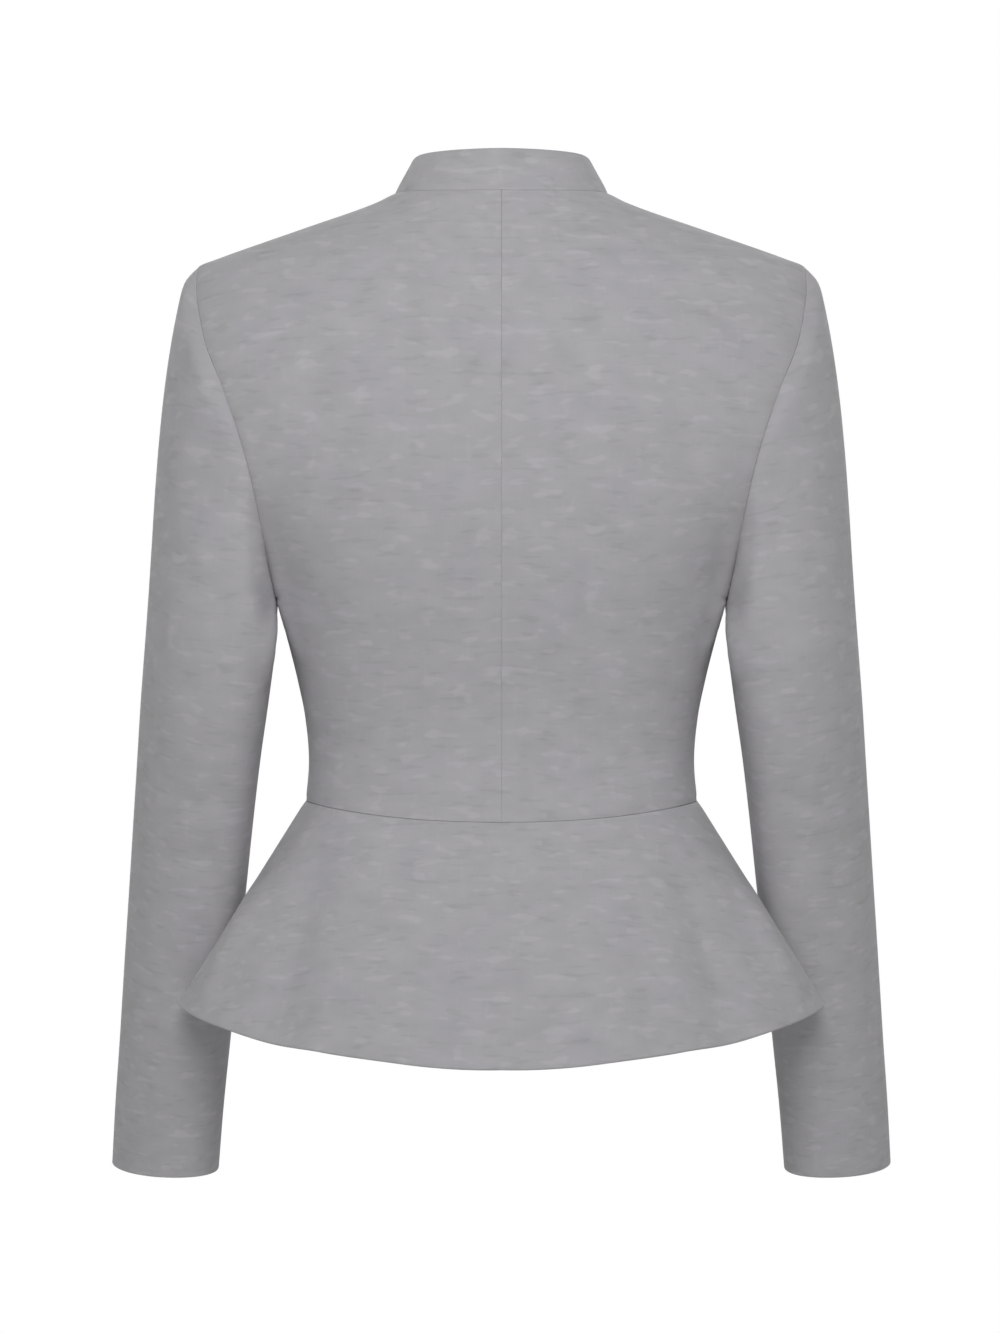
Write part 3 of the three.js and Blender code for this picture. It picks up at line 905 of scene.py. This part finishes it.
@dataclass(frozen=True)
class Grain:
    """Lays a sheet out flat as it was cut, with its warp along V, in metres."""

    layer: str = "Cut"

    def lay(self, piece: bpy.types.Object, grid: np.ndarray, column: int) -> None:
        """Unwraps the sheet and turns and sizes the flat cut.

        Args:
            piece: The sheet's object, before its thickness is added.
            grid: Its rows of points, in metres.
            column: The grid's column that lies on the straight grain.
        """
        mesh = piece.data
        mesh.uv_layers.new(name=self.layer)
        bpy.context.view_layer.objects.active = piece
        piece.select_set(True)
        bpy.ops.object.mode_set(mode="EDIT")
        bpy.ops.mesh.select_all(action="SELECT")
        bpy.ops.uv.unwrap(method="CONFORMAL", margin=0.0)
        bpy.ops.object.mode_set(mode="OBJECT")
        piece.select_set(False)
        layer = mesh.uv_layers[self.layer]
        flat = np.empty(len(layer.uv) * 2)
        layer.uv.foreach_get("vector", flat)
        flat = flat.reshape(-1, 2)
        corner = np.empty(len(mesh.loops), int)
        mesh.loops.foreach_get("vertex_index", corner)
        spot = np.zeros((len(mesh.vertices), 2))
        spot[corner] = flat
        place = np.empty(len(mesh.vertices) * 3)
        mesh.vertices.foreach_get("co", place)
        place = place.reshape(-1, 3)
        first, last = len(grid) // 4, 3 * len(grid) // 4
        ends = [int(np.argmin(np.linalg.norm(place - grid[row, column], axis=1)))
                for row in (first, last)]
        low, high = sorted(ends, key=lambda index: place[index, 2])
        step = spot[high] - spot[low]
        size = travelled(grid[first:last + 1, column])[-1] / np.linalg.norm(step)
        up = step / np.linalg.norm(step)
        across = np.array([up[1], -up[0]])
        centred = flat - spot[low]
        laid = np.stack([centred @ across, centred @ up], axis=1) * size
        laid[:, 1] += place[low, 2]
        layer.uv.foreach_set("vector", laid.ravel())


# Finishes

class Nodes:
    """Short ways to add nodes to one node tree."""

    def __init__(self, tree: bpy.types.NodeTree) -> None:
        """Keeps the tree that the nodes go into."""
        self.tree = tree

    def add(self, kind: str, **inputs: object) -> bpy.types.Node:
        """Adds a node and fills or links its inputs.

        Args:
            kind: The node's type name.
            **inputs: Its inputs by name, with _ for a space, or by number as i0, i1 and so on.

        Returns:
            The node.
        """
        node = self.tree.nodes.new(kind)
        self.fill(node, **inputs)
        return node

    def fill(self, node: bpy.types.Node, **inputs: object) -> None:
        """Sets or links a node's inputs.

        Args:
            node: The node.
            **inputs: A value to set or a socket to link for each input, named as in add.
        """
        for name, value in inputs.items():
            numbered = name[0] == "i" and name[1:].isdigit()
            socket = node.inputs[int(name[1:]) if numbered else name.replace("_", " ")]
            if isinstance(value, bpy.types.NodeSocket):
                self.tree.links.new(value, socket)
            else:
                socket.default_value = value

    def math(self, operation: str, *values: object) -> bpy.types.NodeSocket:
        """Adds a sum or another operation on numbers.

        Args:
            operation: Which one.
            *values: Up to three numbers or sockets that it works on.

        Returns:
            Its result.
        """
        node = self.tree.nodes.new("ShaderNodeMath")
        node.operation = operation
        self.fill(node, **{f"i{number}": value for number, value in enumerate(values)})
        return node.outputs[0]

    def noise(self, place: bpy.types.NodeSocket, detail: float = 1.0,
              rough: float = 0.5) -> bpy.types.NodeSocket:
        """Adds smooth noise.

        Args:
            place: Where in the plane it is read.
            detail: How many finer layers it has.
            rough: How strong each finer layer is.

        Returns:
            The noise, around a half.
        """
        node = self.tree.nodes.new("ShaderNodeTexNoise")
        node.noise_dimensions = "2D"
        node.normalize = True
        self.fill(node, Vector=place, Scale=1.0, Detail=detail, Roughness=rough)
        return node.outputs["Fac"]

    def scaled(self, u: bpy.types.NodeSocket, v: bpy.types.NodeSocket, width: float, height: float,
               shift: float = 0.0) -> bpy.types.NodeSocket:
        """A place in the cloth, counted in spots of a size and shifted to another part of the noise."""
        across = self.math("ADD", self.math("DIVIDE", u, width), shift)
        return self.add("ShaderNodeCombineXYZ", X=across, Y=self.math("DIVIDE", v, height)).outputs[0]

    def centred(self, value: bpy.types.NodeSocket) -> bpy.types.NodeSocket:
        """A value from 0 to 1, moved to run from minus a half to a half."""
        return self.math("SUBTRACT", value, 0.5)

    def yarns(self, run: bpy.types.NodeSocket, across: bpy.types.NodeSocket, length: float,
              pitch: float, apart: float) -> bpy.types.NodeSocket:
        """Adds noise that differs from one yarn to the next and changes slowly along each.

        Args:
            run: The place along the yarns.
            across: The place across them.
            length: How long a stretch of one yarn stays alike.
            pitch: The yarns' spacing.
            apart: How far neighbours lie from each other in the noise.

        Returns:
            The noise, around a half.
        """
        number = self.math("FLOOR", self.math("DIVIDE", across, pitch))
        place = self.add("ShaderNodeCombineXYZ", X=self.math("DIVIDE", run, length),
                         Y=self.math("MULTIPLY", number, apart))
        return self.noise(place.outputs[0], detail=2.0, rough=0.55)

    def blend(self, *parts: tuple[bpy.types.NodeSocket, float]) -> bpy.types.NodeSocket:
        """Adds up weighted values.

        Args:
            *parts: Each value with its weight.

        Returns:
            The sum.
        """
        total = self.math("MULTIPLY", *parts[0])
        for value, weight in parts[1:]:
            total = self.math("MULTIPLY_ADD", value, weight, total)
        return total

    def step(self, value: bpy.types.NodeSocket, low: float, high: float) -> bpy.types.NodeSocket:
        """Eases a value from 0 at a low limit to 1 at a high one.

        Args:
            value: The value.
            low: The low limit.
            high: The high limit.

        Returns:
            The eased value.
        """
        node = self.tree.nodes.new("ShaderNodeMapRange")
        node.interpolation_type = "SMOOTHSTEP"
        self.fill(node, Value=value, From_Min=low, From_Max=high)
        return node.outputs[0]


@dataclass(frozen=True)
class Slubs:
    """Scattered thick stretches of yarn, in metres, where noise lies above a limit.

    The shift keeps each kind's noise apart, and low and high are where a slub starts to show
    and where it shows fully.
    """

    width: float
    height: float
    shift: float
    low: float
    high: float

    def shown(self, n: Nodes, u: bpy.types.NodeSocket, v: bpy.types.NodeSocket) -> bpy.types.NodeSocket:
        """How far a slub shows at a place in the cloth, from 0 to 1."""
        return n.step(n.noise(n.scaled(u, v, self.width, self.height, self.shift)), self.low, self.high)


@dataclass(frozen=True)
class SlubWeave:
    """The suiting's plain weave with uneven weft yarns, as a node group read in metres.

    Every tone is how far that part of the pattern lightens the cloth, and every relief how far
    it stands up, as a share of the cloth's whole relief. A spot's sizes are its width and height.
    """

    name: str = "slub weave"
    pitch: float = 0.00062
    slub_length: float = 0.018
    slub_height: float = 0.0095
    wave_spot: tuple[float, float] = (0.045, 0.017)
    cloud_spot: tuple[float, float] = (0.034, 0.018)
    warmth_spot: tuple[float, float] = (0.05, 0.04)
    light_slubs: Slubs = Slubs(0.018, 0.00665, 3.7, 0.60, 0.74)
    dark_slubs: Slubs = Slubs(0.018, 0.004275, 8.9, 0.60, 0.74)
    warp_slubs: Slubs = Slubs(0.0057, 0.018, 5.3, 0.66, 0.80)
    wander: float = 0.0016
    weft_apart: float = 7.31
    warp_apart: float = 5.13
    yarn_tone: float = 0.03
    slub_tone: float = 0.135
    end_tone: float = 0.04
    cloud_tone: float = 0.12
    light_tone: float = 0.09
    dark_tone: float = -0.065
    warp_slub_tone: float = 0.03
    crossing_relief: float = 0.16
    yarn_relief: float = 0.3
    slub_relief: float = 0.4
    light_relief: float = 0.3
    warp_slub_relief: float = 0.15

    def build(self) -> bpy.types.NodeTree:
        """Makes the group.

        Returns:
            The group, whose outputs are Tone around 0, and Warmth and Height from 0 to 1.
        """
        tree = bpy.data.node_groups.new(self.name, "ShaderNodeTree")
        tree.interface.new_socket("Cut", in_out="INPUT", socket_type="NodeSocketVector")
        for output in ("Tone", "Warmth", "Height"):
            tree.interface.new_socket(output, in_out="OUTPUT", socket_type="NodeSocketFloat")
        n = Nodes(tree)
        place = n.add("ShaderNodeSeparateXYZ", Vector=n.add("NodeGroupInput").outputs["Cut"])
        u, straight_v = place.outputs[0], place.outputs[1]
        wave = n.centred(n.noise(n.scaled(u, straight_v, *self.wave_spot)))
        v = n.math("ADD", straight_v, n.math("MULTIPLY", wave, self.wander))

        yarn = n.yarns(u, v, self.slub_length, self.pitch, self.weft_apart)
        end = n.yarns(v, u, self.slub_length, self.pitch, self.warp_apart)
        slub = n.noise(n.scaled(u, v, self.slub_length, self.slub_height), detail=2.0, rough=0.45)
        cloud = n.noise(n.scaled(u, v, *self.cloud_spot), detail=2.0)
        light = self.light_slubs.shown(n, u, v)
        dark = self.dark_slubs.shown(n, u, v)
        warp_slub = self.warp_slubs.shown(n, u, v)
        weft_wave, warp_wave = (
            n.math("SINE", n.math("MULTIPLY", n.math("DIVIDE", way, self.pitch), math.pi))
            for way in (v, u)
        )
        crossing = n.math("MULTIPLY", weft_wave, warp_wave)

        tone = n.blend(
            (n.centred(yarn), self.yarn_tone), (n.centred(slub), self.slub_tone),
            (n.centred(end), self.end_tone), (n.centred(cloud), self.cloud_tone),
            (light, self.light_tone), (dark, self.dark_tone), (warp_slub, self.warp_slub_tone),
        )
        height = n.blend(
            (crossing, self.crossing_relief), (light, self.light_relief),
            (warp_slub, self.warp_slub_relief), (slub, self.slub_relief), (yarn, self.yarn_relief),
        )
        warmth = n.noise(n.scaled(u, v, *self.warmth_spot), detail=2.0)
        n.add("NodeGroupOutput", Tone=tone, Warmth=warmth, Height=height)
        return tree


@dataclass(frozen=True)
class Suiting:
    """The light grey suiting's finish, whose tint drifts between a cool and a warm one."""

    name: str = "suiting"
    cool: tuple[float, float, float] = (0.4085, 0.400, 0.4215)
    warm: tuple[float, float, float] = (0.4105, 0.4035, 0.414)
    cool_below: float = 0.35
    warm_above: float = 0.65
    roughness: float = 0.92
    specular: float = 0.22
    sheen: float = 0.12
    sheen_roughness: float = 0.5
    relief: float = 0.00012
    relief_strength: float = 0.6

    def build(self, weave: bpy.types.NodeTree) -> bpy.types.Material:
        """Makes the material.

        Args:
            weave: The weave's node group.

        Returns:
            The material.
        """
        material = bpy.data.materials.new(self.name)
        material.use_nodes = True
        tree = material.node_tree
        tree.nodes.clear()
        n = Nodes(tree)
        cut = n.add("ShaderNodeUVMap")
        cut.uv_map = Grain().layer
        group = tree.nodes.new("ShaderNodeGroup")
        group.node_tree = weave
        n.fill(group, Cut=cut.outputs[0])
        tint = tree.nodes.new("ShaderNodeMix")
        tint.data_type = "RGBA"
        warmth = n.step(group.outputs["Warmth"], self.cool_below, self.warm_above)
        tree.links.new(warmth, tint.inputs["Factor"])
        tint.inputs[6].default_value = (*self.cool, 1)
        tint.inputs[7].default_value = (*self.warm, 1)
        shade = tree.nodes.new("ShaderNodeVectorMath")
        shade.operation = "SCALE"
        tree.links.new(tint.outputs[2], shade.inputs[0])
        n.fill(shade, Scale=n.math("ADD", group.outputs["Tone"], 1.0))
        bump = n.add("ShaderNodeBump", Strength=self.relief_strength, Distance=self.relief,
                     Height=group.outputs["Height"])
        shader = n.add("ShaderNodeBsdfPrincipled", Base_Color=shade.outputs[0],
                       Roughness=self.roughness, Specular_IOR_Level=self.specular,
                       Sheen_Weight=self.sheen, Sheen_Roughness=self.sheen_roughness,
                       Normal=bump.outputs[0])
        n.add("ShaderNodeOutputMaterial", Surface=shader.outputs[0])
        return material


# The garment

def mirrored_creases(creases: tuple[Crease, ...]) -> tuple[Crease, ...]:
    """The same creases on the wearer's other side."""
    return tuple(replace(crease, path=tuple((-x, z) for x, z in crease.path)) for crease in creases)


@dataclass
class Bodice:
    """The two backs and the two fronts."""

    form: BodiceForm
    material: bpy.types.Material
    back_cut: Cut = Cut(0.22, 0.45, 0.077)
    front_cut: Cut = Cut(0.26, 0.48, 0.0685)
    turned_edge: float = 9.0
    centre: tuple[float, float, float] = (0.0, 0.0, -200.0)
    back_creases: tuple[Crease, ...] = (
        Crease(Side.BACK, ((176, -110), (168, -150), (158, -200), (150, -255)), 1.6, 11.0),
        Crease(Side.BACK, ((148, -212), (146, -238), (141, -261), (136, -279), (128, -304)), 4.2, 8.5),
        Crease(Side.BACK, ((134, -246), (120, -266), (102, -280)), -1.0, 10.0),
        Crease(Side.BACK, ((132, -345), (96, -357), (58, -352)), -1.1, 9.0),
    )
    front_creases: tuple[Crease, ...] = (
        Crease(Side.FRONT, ((160, -120), (150, -160), (143, -210), (141, -255)), 1.5, 11.0),
        Crease(Side.FRONT, ((146, -214), (142, -240), (137, -262), (133, -282)), 3.0, 8.5),
        Crease(Side.FRONT, ((130, -246), (114, -262), (94, -270)), -1.1, 10.0),
        Crease(Side.FRONT, ((130, -350), (98, -362), (66, -358)), -1.1, 9.0),
    )

    def _anchors(self) -> tuple[int, ...]:
        """The dense rows of the underarm and of the shoulder point."""
        heights, at = self.form.heights(), (self.form.underarm_z, self.form.shoulder_z)
        return tuple(int(np.argmin(np.abs(heights - z))) for z in at)

    def panel(self, front: bool, right: bool) -> Sheet:
        """Lays out one of the four panels.

        Args:
            front: Whether it is a front.
            right: Whether it is on the wearer's right.

        Returns:
            The sheet.
        """
        surface = self.form.panel(front)
        creases = self.front_creases if front else self.back_creases
        if right:
            surface, creases = mirrored(surface), mirrored_creases(creases)
        if front:
            middle_edge = Border.fold(turn_back=self.turned_edge)
        else:
            middle_edge = Border.seam(roll=0.5, press=0.3)
        return Sheet(
            name=f"cloth_{'front' if front else 'back'}_{'right' if right else 'left'}",
            surface=surface,
            centre=np.array(self.centre),
            first_row=Border.seam(press=0.6),
            last_row=Border.seam(press=0.2),
            first_column=middle_edge,
            last_column=Border.seam(roll=0.18, press=0.25),
            rows=128,
            columns=62,
            anchors=self._anchors(),
            creases=creases,
            grain_column=0.25 if front else 0.12,
        )

    def build(self) -> list[bpy.types.Object]:
        """Builds the four panels in place of their solids.

        Returns:
            The panels.
        """
        made = []
        for front in (False, True):
            for right in (False, True):
                made.append(finish_piece(self.panel(front, right), self.material))
        return made


@dataclass
class Peplum:
    """The flared peplum: one back and two fronts."""

    form: PeplumForm
    material: bpy.types.Material
    back_cut: Cut = Cut(0.53, 0.24, 0.086)
    front_cut: Cut = Cut(0.25, 0.22, 0.0422)
    hem: float = 24.0
    turned_edge: float = 9.0
    centre: tuple[float, float, float] = (0.0, 0.0, -470.0)
    flutes: tuple[Crease, ...] = (
        Crease(Side.BACK, ((112, -420), (128, -470), (140, -520), (146, -560)), -2.4, 15.0),
        Crease(Side.BACK, ((152, -440), (168, -474), (185, -512), (200, -556), (203, -566)), 5.5, 16.0),
        Crease(Side.BACK, ((58, -440), (66, -490), (72, -555)), 1.6, 20.0),
        Crease(Side.BACK, ((20, -450), (22, -500), (24, -560)), -1.0, 16.0),
    )

    def sheets(self) -> list[tuple[Sheet, Cut]]:
        """Lays out the three pieces.

        Returns:
            Each piece's sheet with its cut.
        """
        edge = float(self.form.bodice.front_edge_angle(np.array(self.form.bodice.waist_z)))
        front = self.form.panel(edge, 90)
        common = dict(centre=np.array(self.centre), rows=44,
                      first_row=Border.seam(turn_in=2.2, lap=3.0, press=0.35),
                      last_row=Border.fold(turn_back=self.hem), last_column=Border.seam())
        back = Sheet(name="cloth_peplum_back", surface=self.form.panel(-90, 90), columns=150,
                     first_column=Border.seam(), grain_column=0.5,
                     creases=self.flutes + mirrored_creases(self.flutes), **common)
        pieces = [(back, self.back_cut)]
        for hand, surface in (("left", front), ("right", mirrored(front))):
            sheet = Sheet(name=f"cloth_peplum_front_{hand}", surface=surface, columns=80,
                          first_column=Border.fold(turn_back=self.turned_edge), grain_column=0.2,
                          **common)
            pieces.append((sheet, self.front_cut))
        return pieces

    def build(self) -> list[bpy.types.Object]:
        """Builds the pieces in place of their solids."""
        return [finish_piece(sheet, self.material) for sheet, cut in self.sheets()]


@dataclass
class Sleeves:
    """The two set-in sleeves, each with its seam under the arm."""

    form: SleeveForm
    material: bpy.types.Material
    cut: Cut = Cut(0.33, 0.62, 0.156)
    hem: float = 28.0
    creases: tuple[Crease, ...] = (
        Crease(Side.BACK, ((157, -218), (152.5, -245), (149, -268), (148.5, -292), (151, -322)),
               4.9, 9.0),
        Crease(Side.BACK, ((172, -258), (182, -280), (196, -292)), -1.4, 10.0),
        Crease(Side.BACK, ((172, -385), (196, -396), (220, -392)), -1.6, 9.0),
        Crease(Side.BACK, ((176, -430), (200, -424), (226, -430)), -1.2, 9.0),
        Crease(Side.FRONT, ((170, -400), (196, -410), (226, -402)), -2.2, 9.0),
        Crease(Side.FRONT, ((174, -424), (200, -440), (230, -436)), -1.8, 10.0),
        Crease(Side.FRONT, ((157, -222), (153, -250), (151, -272), (150, -292)), 3.0, 9.0),
        Crease(Side.FRONT, ((168, -272), (182, -298), (200, -308)), -1.6, 11.0),
    )

    def sheet(self, right: bool) -> Sheet:
        """Lays out one sleeve.

        Args:
            right: Whether it is on the wearer's right.

        Returns:
            The sheet.
        """
        surface, creases = self.form.panel(), self.creases
        if right:
            surface, creases = mirrored(surface), mirrored_creases(creases)
        return Sheet(
            name=f"cloth_sleeve_{'right' if right else 'left'}",
            surface=surface,
            centre=np.mean(surface, axis=1, keepdims=True),
            first_row=Border.seam(roll=0.18, turn_in=2.2, lap=2.5, press=0.15),
            last_row=Border.fold(turn_back=self.hem),
            first_column=Border.seam(),
            last_column=Border.seam(),
            rows=190,
            columns=110,
            creases=creases,
            grain_column=0.5,
        )

    def build(self) -> list[bpy.types.Object]:
        """Builds both sleeves in place of their solids."""
        return [finish_piece(self.sheet(right), self.material) for right in (False, True)]


@dataclass
class Collar:
    """The stand collar, folded double at its top edge."""

    form: CollarForm
    material: bpy.types.Material
    cut: Cut = Cut(0.385, 0.062, 0.0214)
    edge_radius: float = 1.3
    turned: float = 24.0

    def sheet(self) -> Sheet:
        """Lays out the collar.

        Returns:
            The sheet.
        """
        end = Border.seam(roll=self.edge_radius, turn_in=0.0, gap=0.0)
        return Sheet(
            name="cloth_collar",
            surface=self.form.panel(),
            centre=np.array([0.0, self.form.axis_y, 0.0]),
            first_row=Border.seam(turn_in=2.0, lap=2.0, press=0.5),
            last_row=Border.fold(radius=self.edge_radius, turn_back=self.turned),
            first_column=end,
            last_column=end,
            rows=12,
            columns=190,
            grain_column=0.5,
            pillow=self.edge_radius,
        )

    def build(self) -> list[bpy.types.Object]:
        """Builds the collar in place of its solid."""
        return [finish_piece(self.sheet(), self.material)]


def finish_piece(sheet: Sheet, material: bpy.types.Material) -> bpy.types.Object:
    """Builds a sheet, dresses it and puts it in its solid's place.

    Args:
        sheet: The sheet, named cloth_ and its node's name.
        material: Its finish.

    Returns:
        The finished piece.
    """
    piece = sheet.build()
    piece.data.materials.append(material)
    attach(piece, BODY)
    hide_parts(sheet.name.removeprefix("cloth_"))
    log.info("%s: %d points", sheet.name, len(piece.data.vertices))
    return piece


# The studio

@dataclass(frozen=True)
class Lamp:
    """A light's bearing from straight behind, its height, both in degrees, and its watts."""

    bearing: float
    height: float
    power: float


@dataclass
class Studio:
    """White sweep, soft lights and the camera behind the garment, in metres."""

    eye: tuple[float, float, float] = (0.000975, 2.4, -0.30615)
    view_height: float = 0.86645
    sensor: float = 36.0
    floor_z: float = -1.25
    floor_radius: float = 9.0
    floor_tone: float = 0.8
    ambient: float = 0.1
    backdrop: float = 1.0
    middle: tuple[float, float, float] = (0.0, 0.0, -0.3)
    light_distance: float = 2.6
    light_size: float = 1.4
    key: Lamp = Lamp(0, 30, 37.5)
    key_beside: Lamp = Lamp(35, 30, 6.8)
    edge: Lamp = Lamp(105, 18, 9.0)
    front: Lamp = Lamp(150, 30, 19.0)

    def camera(self) -> None:
        """The camera, level and square to the back, with the photograph's field of view."""
        data = bpy.data.cameras.new("camera")
        data.sensor_width = self.sensor
        data.lens = self.sensor * self.eye[1] / self.view_height
        camera = bpy.data.objects.new("camera", data)
        camera.location = self.eye
        camera.rotation_euler = (math.pi / 2, 0, math.pi)
        bpy.context.scene.collection.objects.link(camera)
        bpy.context.scene.camera = camera

    def world(self) -> None:
        """Soft light from all round, and plain white where the camera sees past the floor."""
        world = bpy.data.worlds.new("studio")
        bpy.context.scene.world = world
        world.use_nodes = True
        tree = world.node_tree
        tree.nodes.clear()
        n = Nodes(tree)
        fill = n.add("ShaderNodeBackground", Color=(1, 1, 1, 1), Strength=self.ambient)
        white = n.add("ShaderNodeBackground", Color=(1, 1, 1, 1), Strength=self.backdrop)
        seen = n.add("ShaderNodeLightPath").outputs["Is Camera Ray"]
        mixed = n.add("ShaderNodeMixShader", Fac=seen, i1=fill.outputs[0], i2=white.outputs[0])
        n.add("ShaderNodeOutputWorld", Surface=mixed.outputs[0])

    def floor(self) -> None:
        """A round floor far below the garment, which the camera sees as white as the wall."""
        bm = bmesh.new()
        bmesh.ops.create_circle(bm, cap_ends=True, radius=self.floor_radius, segments=96)
        bmesh.ops.translate(bm, verts=bm.verts, vec=(0, 0, self.floor_z))
        mesh = bpy.data.meshes.new("floor")
        bm.to_mesh(mesh)
        bm.free()
        floor = bpy.data.objects.new("floor", mesh)
        bpy.context.scene.collection.objects.link(floor)
        material = bpy.data.materials.new("floor")
        material.use_nodes = True
        tree = material.node_tree
        tree.nodes.clear()
        n = Nodes(tree)
        plain = n.add("ShaderNodeBsdfDiffuse", Color=(*[self.floor_tone] * 3, 1))
        white = n.add("ShaderNodeEmission", Color=(1, 1, 1, 1), Strength=self.backdrop)
        seen = n.add("ShaderNodeLightPath").outputs["Is Camera Ray"]
        both = n.add("ShaderNodeMixShader", Fac=seen, i1=plain.outputs[0], i2=white.outputs[0])
        n.add("ShaderNodeOutputMaterial", Surface=both.outputs[0])
        mesh.materials.append(material)

    def light(self, name: str, lamp: Lamp, side: int = 1) -> None:
        """Adds a soft round light that points at the garment's middle.

        Args:
            name: Its name.
            lamp: Its place and power.
            side: 1 for the wearer's left, or -1 for the right.
        """
        data = bpy.data.lights.new(name, "AREA")
        data.shape = "DISK"
        data.size = self.light_size
        data.energy = lamp.power
        bearing, height = math.radians(lamp.bearing * side), math.radians(lamp.height)
        level = math.cos(height)
        out = Vector((math.sin(bearing) * level, math.cos(bearing) * level, math.sin(height)))
        light = bpy.data.objects.new(name, data)
        light.location = Vector(self.middle) + self.light_distance * out
        light.rotation_euler = out.to_track_quat("Z", "Y").to_euler()
        light.visible_camera = False
        bpy.context.scene.collection.objects.link(light)

    def build(self) -> None:
        """Sets up the camera, the surroundings and the lights."""
        self.camera()
        self.world()
        self.floor()
        self.light("key", self.key)
        for side in (-1, 1):
            self.light(f"key beside {side}", self.key_beside, side)
            self.light(f"edge {side}", self.edge, side)
            self.light(f"front {side}", self.front, side)
        bpy.context.scene.view_settings.view_transform = "Standard"


def main() -> None:
    """Loads the frame, builds the garment and the studio, and logs how many pieces each part has."""
    logging.basicConfig(level=logging.INFO, format="%(name)s: %(message)s")
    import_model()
    studio = Studio()
    studio.build()
    bodice_form = BodiceForm()
    suiting = Suiting().build(SlubWeave().build())
    for part in (
        Bodice(bodice_form, suiting),
        Peplum(PeplumForm(bodice_form), suiting),
        Sleeves(SleeveForm(bodice_form), suiting),
        Collar(CollarForm(bodice_form), suiting),
    ):
        made = part.build()
        log.info("%s: %d pieces", type(part).__name__, len(made))


if __name__ == "__main__":
    main()
